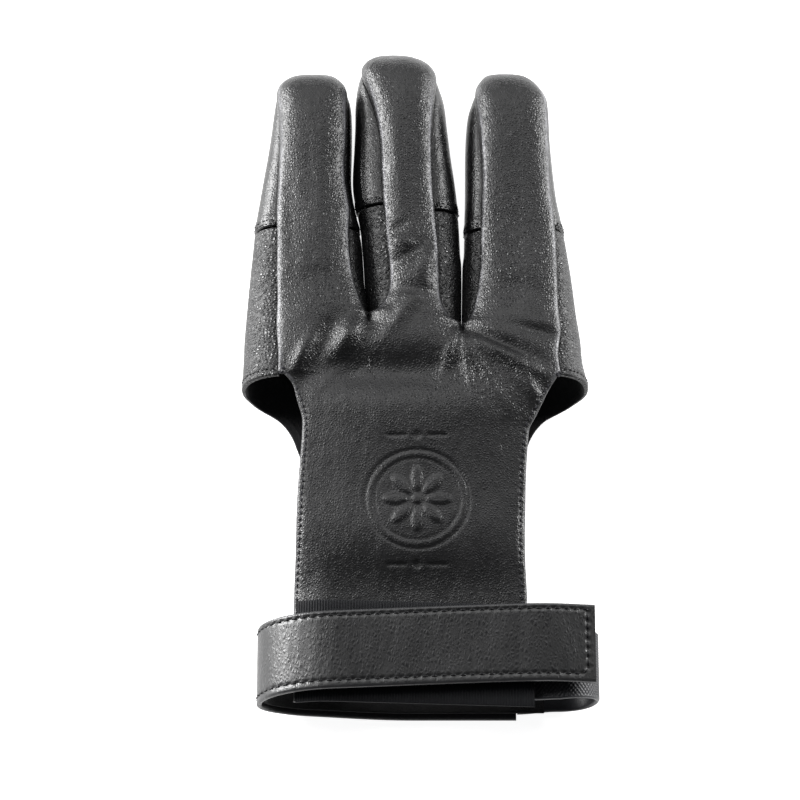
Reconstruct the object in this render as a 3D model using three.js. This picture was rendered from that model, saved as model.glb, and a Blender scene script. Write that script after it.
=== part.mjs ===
// A three-finger archery glove, lying on its palm side, in millimetres.
// +Y runs towards the fingertips, +X towards the ring finger and +Z up from the surface it lies on.
// The origin is on that surface, under the middle of the palm, level with the mouth of the finger stalls.
//
// The leather is laid out as sheets: grids of points on the outer face, which are then given their thickness.
// Every stall has a smooth back and a U-shaped grained underside that meet at a seam along each side.
import * as THREE from "three";

// Materials of the walls
const BACK_LEATHER = 1.2;
const PALM_LEATHER = 1.4;
const TIP_LEATHER = 1.5;
const PARED = 0.6; // share of its thickness that leather keeps at an edge
const TAPE = 1.0;
const WEBBING = 1.5;
const STRAP_LEATHER = 1.5;

// Clearances between sewn pieces
const SEAM_GAP = 0.3; // between two faces that are sewn together
const SEAM_DROP = 0.5; // height between the edge of the back and the edge of the underside
const FORK_DROP = 1.3; // the same at a fork
const STALL_CLEARANCE = 0.2; // from the line between two stalls to the wall of either
const SEAM_TUCK = 0.6; // how far the underside reaches in below the edge of the back

// Stalls: where they start and how large they are
const INDEX_CROTCH = 19.7; // Y of the fork between index and middle stall
const RING_CROTCH = 16.3; // Y of the fork between middle and ring stall
const CROTCH_HEIGHT = 17.5;
const MIDDLE_CENTRE = -0.5;
const STALLS = {
  index: { width: 30, length: 81.2, height: 20, tip: 52 },
  middle: { width: 30, length: 87.8, height: 21, tip: 51.5 },
  ring: { width: 30, length: 84.8, height: 20, tip: 53 },
};

// Back of the hand and tongue
const MOUTH_EDGE_HEIGHT = 22; // height of the side seams where they end at the mouth
const MOUTH_INSETS = { index: 10.6, ring: 8.1 }; // from the outermost wall in to those seams
const MOUTH_CROWN = 26; // height of the back above the mouth
const TONGUE_LENGTH = 100;
const TONGUE_WIDTH = 66;
const TONGUE_HEIGHT = 23;
const TONGUE_END_TILT = 2; // how much further the tongue reaches on its right

// Palm flap
const FLAP_LENGTH = 31;
const WEB_DEPTH = 13; // how far the web between two stalls runs on into the hand space

// Wrist strap
const STRAP_WIDTH = 23;
const STRAP_SETBACK = 15.4; // from the end of the tongue up to the strap's centre line
const STRAP_Y = STRAP_SETBACK - TONGUE_LENGTH;
const STRAP_LEFT = 44.6; // reach of the left bend
const STRAP_END = 52; // reach of the strap's free end
const STRAP_END_DROOP = 2.6;
const STRAP_SHIFTS = { bend: -1.6, joint: -3.3, end: 1.4 }; // along Y, from the centre line
const LINING_MARGIN = 1.5; // the lining tape is this much narrower on each side
const JOINT_X = 30; // where strap and elastic meet under the wrist
const JOINT_LAP = 8; // how far the lining runs on over the elastic
const ELASTIC_WIDTH = 20;
const ELASTIC_REACH = 53.6;
const ELASTIC_LAP = 9; // how far the elastic runs in below the tongue
const ELASTIC_BEND = 11.6; // how far before its reach the elastic begins to turn down
const ELASTIC_MIDDLE = 11.5; // height of its furthest point
const ELASTIC_SAG = 0.4; // how far it lies below the top of the tongue where the bend begins
const ELASTIC_SHIFTS = { tongue: -4.2, reach: -1.9, below: -2.2, joint: -3 };
const BASE_STRIP_WIDTH = 30;
const BASE_STRIP_OVERHANG = 0.7; // past the end and the right edge of the tongue
const BASE_STRIP_INSET = 1; // from the left edge of the tongue

// Facets
const BACK_STEPS = 8; // across the back of one stall
const WALL_STEPS = 3; // from a seam to the widest point of a wall
const FLOOR_STEPS = 4; // from the widest point to the middle of the floor
const BAND_STEPS = 10; // round each quarter of a strap bend
const BELOW_STEPS = 5; // along the strap's straight run below the wrist
const OVER_STEPS = 14; // along its run over the tongue

const mix = THREE.MathUtils.lerp;
const smooth = THREE.MathUtils.smoothstep;
const clamp = THREE.MathUtils.clamp;

// A table with named columns, read at any place between its rows.
function table(names, rows) {
  const at = (t) => {
    const i = clamp(Math.floor(t), 0, rows.length - 2);
    const f = t - i;
    const row = (k) => rows[clamp(k, 0, rows.length - 1)];
    const value = (c) => {
      const [a, b, d, e] = [row(i - 1)[c], row(i)[c], row(i + 1)[c], row(i + 2)[c]];
      return b + 0.5 * f * (d - a + f * (2 * a - 5 * b + 4 * d - e + f * (3 * (b - d) + e - a)));
    };
    return Object.fromEntries(names.map((name, c) => [name, value(c)]));
  };
  // The place at which the first column, which rises or falls all the way, reaches a value.
  const find = (wanted) => {
    const rising = rows[rows.length - 1][0] > rows[0][0];
    let [low, high] = [0, rows.length - 1];
    for (let n = 0; n < 40; n++) {
      const t = (low + high) / 2;
      if (at(t)[names[0]] < wanted === rising) low = t;
      else high = t;
    }
    return (low + high) / 2;
  };
  return { at, find, last: rows.length - 1 };
}

// The lines that part the stalls and bound the glove. up: share of the middle stall's length above the fork;
// left and right: the lines beside the middle stall, as shares of its width; index and ring: how wide those
// stalls may be there, as shares of their own width.
const BOUNDARIES = table(
  ["up", "left", "right", "index", "ring"],
  [
    [-0.225, 0.4, 0.507, 1.262, 1.25],
    [-0.15, 0.4, 0.507, 1.25, 1.2],
    [-0.06, 0.404, 0.507, 1.24, 1.18],
    [0.04, 0.415, 0.51, 1.21, 1.138],
    [0.15, 0.453, 0.515, 1.15, 1.1],
    [0.26, 0.473, 0.517, 1.103, 1.055],
    [0.37, 0.51, 0.513, 1.04, 1.01],
    [0.45, 0.557, 0.51, 0.96, 0.97],
    [0.53, 0.583, 0.5, 0.9, 0.953],
    [0.66, 0.575, 0.48, 0.852, 0.943],
    [0.82, 0.57, 0.467, 0.807, 0.933],
    [1.02, 0.57, 0.467, 0.763, 0.917],
  ],
);

// Sections of a stall from its tip to its fork. along: share of the length; gaps: from the boundary lines to
// the walls; insets: from the walls in to the seams, both as shares of the width; rises, crown and floor:
// heights of the seams, of the back and of the underside, as shares of the height.
const SECTION = [
  "along", "gapLeft", "gapRight", "insetLeft", "insetRight", "riseLeft", "riseRight", "crown", "floor",
];
const SECTIONS = {
  index: table(SECTION, [
    [0.0, 0.3, 0.32, 0.0, 0.0, 0.45, 0.45, 0.45, 0.45],
    [0.009, 0.165, 0.2, 0.0, 0.0, 0.455, 0.455, 0.6, 0.3],
    [0.029, 0.085, 0.132, 0.0, 0.0, 0.47, 0.47, 0.73, 0.16],
    [0.06, 0.024, 0.07, 0.003, 0.003, 0.5, 0.5, 0.84, 0.06],
    [0.106, 0.004, 0.026, 0.013, 0.023, 0.56, 0.56, 0.92, 0.01],
    [0.17, 0.0, 0.01, 0.055, 0.042, 0.63, 0.63, 0.97, 0.0],
    [0.265, 0.0, 0.004, 0.1, 0.043, 0.7, 0.69, 1.0, 0.0],
    [0.41, 0.0, 0.0, 0.155, 0.053, 0.76, 0.73, 1.0, 0.0],
    [0.56, 0.0, 0.0, 0.2, 0.062, 0.81, 0.76, 1.02, 0.0],
    [0.7, 0.0, 0.0, 0.24, 0.113, 0.86, 0.82, 1.05, 0.0],
    [0.84, 0.0, 0.0, 0.273, 0.103, 0.9, 0.85, 1.09, 0.0],
    [0.925, 0.0, 0.0, 0.297, 0.07, 0.94, 0.87, 1.12, 0.0],
    [0.977, 0.0, 0.0, 0.307, 0.035, 0.96, 0.875, 1.15, 0.0],
    [1.0, 0.0, 0.0, 0.31, 0.0, 0.97, 0.875, 1.16, 0.0],
  ]),
  middle: table(SECTION, [
    [0.0, 0.3, 0.55, 0.0, 0.0, 0.43, 0.43, 0.43, 0.43],
    [0.01, 0.207, 0.435, 0.0, 0.0, 0.435, 0.435, 0.57, 0.3],
    [0.033, 0.113, 0.297, 0.0, 0.0, 0.45, 0.45, 0.71, 0.16],
    [0.066, 0.063, 0.21, 0.005, 0.003, 0.48, 0.48, 0.83, 0.05],
    [0.11, 0.03, 0.162, 0.053, 0.023, 0.57, 0.57, 0.91, 0.01],
    [0.172, 0.012, 0.112, 0.133, 0.09, 0.65, 0.65, 0.965, 0.0],
    [0.262, 0.012, 0.09, 0.203, 0.14, 0.73, 0.73, 0.99, 0.0],
    [0.364, 0.006, 0.069, 0.26, 0.185, 0.785, 0.785, 1.0, 0.0],
    [0.5, 0.0, 0.038, 0.283, 0.232, 0.81, 0.81, 1.0, 0.0],
    [0.612, 0.0, 0.02, 0.245, 0.233, 0.825, 0.825, 1.01, 0.0],
    [0.737, 0.0, 0.01, 0.225, 0.217, 0.855, 0.855, 1.04, 0.0],
    [0.85, 0.0, 0.002, 0.237, 0.208, 0.86, 0.86, 1.08, 0.0],
    [0.923, 0.0, 0.0, 0.195, 0.19, 0.857, 0.857, 1.11, 0.0],
    [0.97, 0.0, 0.0, 0.12, 0.12, 0.85, 0.85, 1.12, 0.0],
    [0.993, 0.0, 0.0, 0.045, 0.045, 0.838, 0.838, 1.13, 0.0],
    [1.0, 0.0, 0.0, 0.0, 0.0, 0.833, 0.833, 1.13, 0.0],
  ]),
  ring: table(SECTION, [
    [0.0, 0.41, 0.37, 0.0, 0.0, 0.45, 0.45, 0.45, 0.45],
    [0.009, 0.297, 0.237, 0.0, 0.0, 0.455, 0.455, 0.6, 0.3],
    [0.03, 0.243, 0.15, 0.0, 0.0, 0.47, 0.47, 0.73, 0.16],
    [0.064, 0.19, 0.075, 0.003, 0.0, 0.5, 0.5, 0.84, 0.06],
    [0.109, 0.145, 0.014, 0.033, 0.003, 0.58, 0.58, 0.92, 0.01],
    [0.161, 0.107, 0.0, 0.077, 0.007, 0.65, 0.66, 0.965, 0.0],
    [0.255, 0.077, 0.0, 0.13, 0.013, 0.71, 0.7, 0.99, 0.0],
    [0.395, 0.05, 0.0, 0.16, 0.038, 0.765, 0.76, 1.0, 0.0],
    [0.536, 0.028, 0.0, 0.16, 0.073, 0.79, 0.81, 1.01, 0.0],
    [0.664, 0.016, 0.0, 0.153, 0.107, 0.82, 0.86, 1.03, 0.0],
    [0.793, 0.003, 0.0, 0.157, 0.147, 0.85, 0.91, 1.07, 0.0],
    [0.887, 0.0, 0.0, 0.127, 0.173, 0.87, 0.95, 1.1, 0.0],
    [0.957, 0.0, 0.0, 0.085, 0.19, 0.875, 0.97, 1.13, 0.0],
    [0.99, 0.0, 0.0, 0.035, 0.194, 0.875, 0.98, 1.15, 0.0],
    [1.0, 0.0, 0.0, 0.0, 0.195, 0.875, 0.985, 1.16, 0.0],
  ]),
};

// The back below the mouth. down: share of the tongue's length; left and right: its edges, as shares of its
// width; rise: how far its height has gone from that at the mouth to that of the tongue; swell: share of the
// mouth's crown that is left; edge: 1 where the edge is still rolled down, 0 where it is a flat free edge.
const TONGUE = table(
  ["down", "left", "right", "rise", "swell", "edge"],
  [
    [0.0, -0.602, 0.665, 0.0, 1.0, 1.0],
    [0.01, -0.57, 0.655, 0.05, 0.98, 0.8],
    [0.038, -0.536, 0.629, 0.15, 0.93, 0.5],
    [0.075, -0.518, 0.597, 0.3, 0.85, 0.25],
    [0.11, -0.501, 0.57, 0.45, 0.77, 0.1],
    [0.14, -0.488, 0.547, 0.55, 0.7, 0.0],
    [0.175, -0.486, 0.52, 0.65, 0.63, 0.0],
    [0.225, -0.489, 0.511, 0.75, 0.55, 0.0],
    [0.31, -0.498, 0.502, 0.85, 0.45, 0.0],
    [0.4, -0.505, 0.497, 0.92, 0.38, 0.0],
    [0.55, -0.512, 0.492, 1.0, 0.25, 0.0],
    [0.67, -0.519, 0.497, 1.0, 0.0, 0.0],
    [0.85, -0.52, 0.505, 1.0, 0.0, 0.0],
    [1.0, -0.518, 0.513, 1.0, 0.0, 0.0],
  ],
);

// The lower edge of the palm leather, from a side seam to the middle. inward: how far in along the section,
// as a share of half its length; down: share of the flap's length.
const RIM = table(
  ["inward", "down"],
  [
    [0.0, 0.02],
    [0.11, 0.035],
    [0.215, 0.06],
    [0.31, 0.1],
    [0.37, 0.155],
    [0.45, 0.24],
    [0.493, 0.335],
    [0.52, 0.44],
    [0.536, 0.54],
    [0.552, 0.65],
    [0.562, 0.83],
    [0.572, 0.93],
    [0.6, 0.985],
    [0.65, 1.0],
    [0.8, 1.0],
    [1.0, 1.0],
  ],
);
const FLAP_START = 0.7; // share of the way from the forks to the mouth at which the rows turn to the rim
const FLAP_STEPS = 6;

// Main folds of the back: middle, half length, half width and height in millimetres, and direction in
// degrees.
const FOLDS = [
  { x: -28, y: 8, long: 13, wide: 2.6, height: 1.1, turn: 47 },
  { x: -24, y: 1, long: 12, wide: 3.2, height: -0.9, turn: 40 },
  { x: 2, y: 47, long: 8, wide: 2.2, height: -0.5, turn: 8 },
  { x: 22, y: 2, long: 16, wide: 2.4, height: 0.6, turn: 100 },
  { x: 36, y: 9, long: 9, wide: 2.2, height: -0.6, turn: -12 },
];

function foldHeight(x, y) {
  let height = 0;
  for (const fold of FOLDS) {
    const angle = THREE.MathUtils.degToRad(fold.turn);
    const along = (x - fold.x) * Math.cos(angle) + (y - fold.y) * Math.sin(angle);
    const across = (y - fold.y) * Math.cos(angle) - (x - fold.x) * Math.sin(angle);
    height += fold.height * Math.exp(-((along / fold.long) ** 2) - (across / fold.wide) ** 2);
  }
  return height;
}

// Lines between and beside the stalls at a given Y.
function boundaries(y) {
  const row = BOUNDARIES.at(BOUNDARIES.find((y - INDEX_CROTCH) / STALLS.middle.length));
  const left = MIDDLE_CENTRE - row.left * STALLS.middle.width;
  const right = MIDDLE_CENTRE + row.right * STALLS.middle.width;
  return {
    outerLeft: left - row.index * STALLS.index.width,
    left,
    right,
    outerRight: right + row.ring * STALLS.ring.width,
  };
}

const FORKS = {
  index: [INDEX_CROTCH, INDEX_CROTCH],
  middle: [INDEX_CROTCH, RING_CROTCH],
  ring: [RING_CROTCH, RING_CROTCH],
};
const SIDES = { index: ["outerLeft", "left"], middle: ["left", "right"], ring: ["right", "outerRight"] };
const NAMES = Object.keys(STALLS);

// One section of a stall: its two walls, its two seams, and the heights of its back and floor.
function section(name, place) {
  const row = SECTIONS[name].at(place);
  const { width, height } = STALLS[name];
  const tip = INDEX_CROTCH + (name === "ring" ? RING_CROTCH - INDEX_CROTCH : 0) + STALLS[name].length;
  const [yLeft, yRight] = FORKS[name].map((fork) => mix(tip, fork, row.along));
  return stallSection(name, yLeft, yRight, {
    gaps: [row.gapLeft * width, row.gapRight * width],
    insets: [row.insetLeft * width, row.insetRight * width],
    rises: [row.riseLeft * height, row.riseRight * height],
    crown: row.crown * height,
    floor: row.floor * height,
  });
}

function stallSection(name, yLeft, yRight, { gaps, insets, rises, crown, floor }) {
  const wallLeft = boundaries(yLeft)[SIDES[name][0]] + STALL_CLEARANCE + gaps[0];
  const wallRight = boundaries(yRight)[SIDES[name][1]] - STALL_CLEARANCE - gaps[1];
  return {
    walls: [wallLeft, wallRight],
    seams: [
      { x: wallLeft + insets[0], y: yLeft, z: rises[0] },
      { x: wallRight - insets[1], y: yRight, z: rises[1] },
    ],
    crown,
    floor,
  };
}

// Sections of the hand space from the forks down to the mouth, as if the three stalls ran on side by side.
function handSection(name, share) {
  const last = section(name, SECTIONS[name].last);
  const [yLeft, yRight] = FORKS[name].map((fork) => mix(fork, 0, share));
  const [start, end] = [last.seams[0], last.seams[1]];
  const outer = { index: 0, ring: 1 }[name];
  const insets = [start.x - last.walls[0], last.walls[1] - end.x].map((inset, side) =>
    side === outer ? mix(inset, MOUTH_INSETS[name], smooth(share, 0, 1)) : inset,
  );
  const rises = [start, end].map((seam, side) =>
    side === outer ? mix(seam.z, MOUTH_EDGE_HEIGHT, share) : seam.z,
  );
  return stallSection(name, yLeft, yRight, {
    gaps: [0, 0],
    insets,
    rises,
    crown: mix(last.crown, MOUTH_CROWN, share),
    floor: 0,
  });
}

const ARCH = 2.5; // exponent of the rounded sections: 2 is an ellipse and more is squarer
const REST_PRESS = 0.5; // how far the floor of a section is pressed flat by the surface

const arc = (angle, exponent = ARCH) => [
  Math.max(Math.cos(angle), 0) ** (2 / exponent),
  Math.max(Math.sin(angle), 0) ** (2 / exponent),
];

// Points across the back of one section, from its left seam to its right.
function backPoints({ seams: [left, right], crown }) {
  const points = [];
  for (let i = 0; i <= BACK_STEPS; i++) {
    const angle = (Math.PI * i) / BACK_STEPS;
    const [out, up] = arc(Math.min(angle, Math.PI - angle));
    const share = angle < Math.PI / 2 ? (1 - out) / 2 : (1 + out) / 2;
    const base = mix(left.z, right.z, share);
    points.push(
      new THREE.Vector3(mix(left.x, right.x, share), mix(left.y, right.y, share), base + (crown - base) * up),
    );
  }
  return points;
}

// Points round the underside of one section, from its left seam by way of its floor to its right seam.
function undersidePoints({ walls, seams, floor }, tuck = SEAM_TUCK) {
  const centre = (walls[0] + walls[1]) / 2;
  const quarter = (side) => {
    const [wall, seam] = [walls[side], seams[side]];
    const inward = side === 0 ? 1 : -1;
    const top = seam.z - SEAM_DROP;
    const bottom = Math.min(floor, top) - (floor === 0 ? REST_PRESS : 0);
    const middle = (top + bottom) / 2;
    const edge = seam.x + inward * tuck;
    const points = [];
    for (let i = 0; i < WALL_STEPS; i++) {
      const [out, up] = arc(((Math.PI / 2) * (WALL_STEPS - i)) / WALL_STEPS, 2);
      points.push([edge + (wall - edge) * out, middle + (top - middle) * up]);
    }
    for (let i = 0; i <= FLOOR_STEPS; i++) {
      const [out, down] = arc(((Math.PI / 2) * i) / FLOOR_STEPS);
      points.push([centre + (wall - centre) * out, middle - (middle - bottom) * down]);
    }
    return points.map(([x, z]) => [x, Math.max(z, 0)]);
  };
  const half = WALL_STEPS + FLOOR_STEPS;
  const flat = [...quarter(0), ...quarter(1).reverse().slice(1)];
  return flat.map(([x, z], i) => new THREE.Vector3(x, mix(seams[0].y, seams[1].y, i / (2 * half)), z));
}

// A sheet is a list of quads whose corners are points on the outer face of a piece.
class Sheet {
  constructor() {
    this.points = [];
    this.places = new Map();
    this.quads = [];
  }
  point(p) {
    const key = [p.x, p.y, p.z].map((v) => v.toFixed(3)).join();
    if (!this.places.has(key)) {
      this.places.set(key, this.points.length);
      this.points.push(p.clone());
    }
    return this.places.get(key);
  }
  // Adds the quads between successive rows of points.
  grid(rows) {
    const ids = rows.map((row) => row.map((p) => this.point(p)));
    for (let r = 0; r + 1 < ids.length; r++)
      for (let c = 0; c + 1 < ids[r].length; c++)
        this.quads.push([ids[r][c], ids[r + 1][c], ids[r + 1][c + 1], ids[r][c + 1]]);
    return this;
  }
  triangles() {
    const found = [];
    for (const [a, b, c, d] of this.quads) {
      if (a !== b && b !== c && a !== c) found.push([a, b, c]);
      if (a !== c && c !== d && a !== d) found.push([a, c, d]);
    }
    return found;
  }
  // The closed solid between this outer face and the same face moved in by a thickness. A border is pared
  // down to a share of the thickness and, where level says so, cut level for the next piece to fit below it.
  thicken(thickness, level = () => 0, pared = 1) {
    const outer = this.triangles();
    const normals = this.points.map(() => new THREE.Vector3());
    for (const [a, b, c] of outer) {
      const [pa, pb, pc] = [a, b, c].map((i) => this.points[i]);
      const normal = new THREE.Vector3().crossVectors(pb.clone().sub(pa), pc.clone().sub(pa));
      for (const i of [a, b, c]) normals[i].add(normal);
    }
    const edges = new Set(outer.flatMap(([a, b, c]) => [`${a},${b}`, `${b},${c}`, `${c},${a}`]));
    const pairs = [...edges].map((edge) => edge.split(",").map(Number));
    const border = pairs.filter(([a, b]) => !edges.has(`${b},${a}`));
    for (const normal of normals) normal.normalize();
    for (const i of new Set(border.flat())) {
      normals[i].z *= 1 - level(this.points[i]);
      normals[i].normalize().multiplyScalar(pared);
    }
    const inner = this.points.map((p, i) => p.clone().addScaledVector(normals[i], -thickness));
    const count = this.points.length;
    const faces = [...outer, ...outer.map(([a, b, c]) => [a + count, c + count, b + count])];
    for (const [a, b] of border) faces.push([b, a, a + count], [b, a + count, b + count]);
    const geometry = new THREE.BufferGeometry();
    geometry.setAttribute(
      "position",
      new THREE.Float32BufferAttribute([...this.points, ...inner].flatMap((p) => p.toArray()), 3),
    );
    geometry.setIndex(faces.flat());
    geometry.computeVertexNormals();
    return geometry;
  }
}

const places = (from, to, count) => Array.from({ length: count + 1 }, (_, i) => mix(from, to, i / count));

// Rows of the back from the forks to the mouth: three arched stalls that flatten into one arch.
const HAND_SHARES = [0, 0.12, 0.28, 0.5, 0.75, 1];
const FLATTENED = 0.75; // share of the way to the mouth at which the three arches have become one

function handBackRow(share) {
  const rows = NAMES.map((name) => backPoints(handSection(name, share)));
  const row = rows.flatMap((points, i) => (i === 0 ? points : points.slice(1)));
  if (share === 0) return row;
  const [start, end] = [row[0], row[row.length - 1]];
  const crown = mix(section("middle", SECTIONS.middle.last).crown, MOUTH_CROWN, share);
  const fade = smooth(share, 0, FLATTENED);
  return row.map((p) => {
    const across = (p.x - start.x) / (end.x - start.x);
    const base = mix(start.z, end.z, across);
    const single = base + (crown - base) * arch(across, 1);
    return new THREE.Vector3(p.x, p.y, mix(p.z, single, fade));
  });
}

// Height of the single arch over the hand, from 0 at its edges to 1 in the middle.
function arch(across, edge) {
  const out = clamp(Math.abs(2 * across - 1), 0, 1);
  return (1 - out ** ARCH) ** mix(1, 1 / ARCH, edge);
}

// How far the strap's left bend presses the tongue and its tape down, and between which shares of the
// tongue's length that grows to the full.
const tongueDroop = (x) => crest(LAYERS) - crestHeight(x, LAYERS);
const DROOP = { from: 0.4, full: 0.68 };

// Where the lines of points down the tongue lie, as shares of its width.
function tongueColumns() {
  const mouth = handBackRow(1);
  return mouth.map((p) => (p.x - mouth[0].x) / (mouth[mouth.length - 1].x - mouth[0].x));
}

function tongueRow(place, columns) {
  const row = TONGUE.at(place);
  const [left, right] = [row.left * TONGUE_WIDTH, row.right * TONGUE_WIDTH];
  const rise = mix(MOUTH_EDGE_HEIGHT, TONGUE_HEIGHT, clamp(row.rise, 0, 1));
  const swell = (MOUTH_CROWN - MOUTH_EDGE_HEIGHT) * clamp(row.swell, 0, 1);
  return columns.map((across) => {
    const slant = TONGUE_END_TILT * (across - 0.5) * smooth(row.down, DROOP.from, 1);
    const x = mix(left, right, across);
    const droop = tongueDroop(x) * smooth(row.down, DROOP.from, DROOP.full);
    return new THREE.Vector3(
      x,
      -row.down * TONGUE_LENGTH - slant,
      rise + swell * arch(across, clamp(row.edge, 0, 1)) - droop,
    );
  });
}

// How near to the closest fork a point lies, from 0 at the fork to 1 at a radius and beyond.
const clearOfForks = (p, radius) =>
  Math.min(...["middle", "ring"].map((name) => smooth(forkPoint(name).distanceTo(p), 0, radius)));

// Adds the folds to rows of the back, but none at the ends of a row or at a fork.
const FOLD_FREE_RADIUS = 6;

function folded(rows) {
  return rows.map((row) =>
    row.map((p, i) => {
      const fade = clearOfForks(p, FOLD_FREE_RADIUS);
      const free = i > 0 && i < row.length - 1;
      return free ? new THREE.Vector3(p.x, p.y, p.z + fade * foldHeight(p.x, p.y)) : p;
    }),
  );
}

// The two forks, where the backs of neighbouring stalls meet.
function forkPoint(name) {
  const seam = section(name, SECTIONS[name].last).seams[0];
  return new THREE.Vector3(seam.x - STALL_CLEARANCE, seam.y, CROTCH_HEIGHT);
}

// Moves the seam ends of a row onto the forks that the neighbouring rows share.
function joined(rows, drop = 0) {
  const forks = { middle: forkPoint("middle"), ring: forkPoint("ring") };
  for (const fork of Object.values(forks)) fork.z -= drop;
  rows.index[rows.index.length - 1] = forks.middle.clone();
  rows.middle[0] = forks.middle.clone();
  rows.middle[rows.middle.length - 1] = forks.ring.clone();
  rows.ring[0] = forks.ring.clone();
  return rows;
}

// The edge of the back is cut level from the tips to the mouth, and square along the tongue and at the forks.
const LEVEL_FADE = 6; // below the mouth, from level to square
const FORK_RADIUS = 1;

function backPanel() {
  const sheet = new Sheet();
  const forkRows = joined(
    Object.fromEntries(NAMES.map((name) => [name, backPoints(section(name, SECTIONS[name].last))])),
  );
  for (const name of NAMES) {
    const last = SECTIONS[name].last;
    const rows = places(0, last - 1, last - 1).map((place) => backPoints(section(name, place)));
    sheet.grid(folded([...rows, forkRows[name]]));
  }
  const forkRow = NAMES.flatMap((name, i) => (i === 0 ? forkRows[name] : forkRows[name].slice(1)));
  const hand = [forkRow, ...HAND_SHARES.slice(1).map(handBackRow)];
  const columns = tongueColumns();
  const tongue = places(1, TONGUE.last, TONGUE.last - 1).map((place) => tongueRow(place, columns));
  sheet.grid(folded([...hand, ...tongue]));
  const level = (p) => smooth(p.y, -LEVEL_FADE, 0) * clearOfForks(p, FORK_RADIUS);
  return sheet.thicken(BACK_LEATHER, level, PARED);
}

const tipPlace = (name) => SECTIONS[name].find(STALLS[name].tip / STALLS[name].length);

// The reinforced tip of one stall.
function tip(name) {
  const end = tipPlace(name);
  const steps = Math.round(end);
  const rows = places(0, end, steps).map((place) => {
    if (place > 0) return undersidePoints(section(name, place));
    return undersidePoints(section(name, place), 0).map((p) => new THREE.Vector3(p.x, p.y - SEAM_TUCK, p.z));
  });
  return new Sheet().grid(rows.map((row) => row.slice().reverse())).thicken(TIP_LEATHER, undefined, PARED);
}

function palmPanel() {
  const sheet = new Sheet();
  const flip = (rows) => rows.map((row) => row.slice().reverse());
  const forkRows = joined(
    Object.fromEntries(NAMES.map((name) => [name, undersidePoints(section(name, SECTIONS[name].last))])),
    FORK_DROP,
  );
  for (const name of NAMES) {
    const start = SECTIONS[name].find((STALLS[name].tip + SEAM_GAP) / STALLS[name].length);
    const last = SECTIONS[name].last;
    const steps = Math.round(last - start);
    const rows = places(start, last, steps).map((place) => undersidePoints(section(name, place)));
    rows[steps] = forkRows[name];
    sheet.grid(flip(rows));
  }
  const chain = (rows) => NAMES.flatMap((name, i) => (i === 0 ? rows[name] : rows[name].slice(1)));
  const shares = [...HAND_SHARES.filter((share) => share > 0 && share < FLAP_START - 0.05), FLAP_START];
  const hand = [chain(forkRows), ...shares.map(handPalmRow)];
  const flap = places(0, 1, FLAP_STEPS).slice(1).map(flapRow);
  sheet.grid(flip([...hand, ...flap]));
  return sheet.thicken(PALM_LEATHER, undefined, PARED);
}

// The underside of the hand space: the walls between the stalls sink to the floor over the depth of the web.
function handPalmRow(share) {
  const sink = smooth((share * INDEX_CROTCH) / WEB_DEPTH, 0, 1);
  const rows = NAMES.map((name) => {
    const hand = handSection(name, share);
    const points = undersidePoints(hand);
    const half = WALL_STEPS + FLOOR_STEPS;
    const centre = points[half].x;
    return points.map((p, i) => {
      const side = i < half ? 0 : 1;
      if ((name === "index" && side === 0) || (name === "ring" && side === 1)) return p;
      const line = hand.walls[side] + (side === 0 ? -STALL_CLEARANCE : STALL_CLEARANCE);
      const spread = mix(centre, line, Math.abs(i - half) / half);
      return new THREE.Vector3(mix(p.x, spread, sink), p.y, mix(p.z, 0, sink));
    });
  });
  for (let i = 1; i < rows.length; i++) {
    const [before, after] = [rows[i - 1], rows[i]];
    const shared = before[before.length - 1].clone().add(after[0]).multiplyScalar(0.5);
    before[before.length - 1] = shared;
    after[0] = shared.clone();
  }
  return rows.flatMap((row, i) => (i === 0 ? row : row.slice(1)));
}

// A row of the flap, from the section above the mouth to the rim. It follows the sections of the hand space
// down to the mouth and runs straight on from there, and its ends are drawn in to the rim.
function flapRow(share) {
  const start = lengthsAlong(handPalmRow(FLAP_START));
  return start.map((length) => {
    const across = 2 * length - 1;
    const inward = 1 - Math.abs(across);
    const rim = RIM.at(rimPlace(inward));
    const reach = mix(FLAP_START, 1 + rim.down, share);
    const outward = 1 - mix(inward, rim.inward, share);
    const point = pointAlong(handPalmRow(Math.min(reach, 1)), 0.5 + 0.5 * Math.sign(across) * outward);
    point.y -= Math.max(reach - 1, 0) * FLAP_LENGTH;
    return point;
  });
}

// How far along a row each of its points lies, as a share of its length.
function lengthsAlong(row) {
  const sums = [0];
  for (let i = 1; i < row.length; i++) sums.push(sums[i - 1] + row[i].distanceTo(row[i - 1]));
  return sums.map((sum) => sum / sums[sums.length - 1]);
}

function pointAlong(row, share) {
  const lengths = lengthsAlong(row);
  const i = clamp(lengths.findIndex((length) => length >= share), 1, row.length - 1);
  return row[i - 1].clone().lerp(row[i], (share - lengths[i - 1]) / (lengths[i] - lengths[i - 1]));
}

// The place on the rim that a column of the section runs to: straight down over the walls, and evenly spread
// over the rest.
const WALL_PLACE = 3;
const RIM_STEPS = 60;
const RIM_LENGTHS = rimLengths();

function rimLengths() {
  const row = handPalmRow(1);
  const halfGirth = row.slice(1).reduce((sum, p, i) => sum + p.distanceTo(row[i]), 0) / 2;
  const rim = places(WALL_PLACE, RIM.last, RIM_STEPS).map((place) => RIM.at(place));
  const sums = [0];
  for (let i = 1; i < rim.length; i++) {
    const [inward, down] = ["inward", "down"].map((name) => rim[i][name] - rim[i - 1][name]);
    sums.push(sums[i - 1] + Math.hypot(inward * halfGirth, down * FLAP_LENGTH));
  }
  return sums;
}

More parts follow.
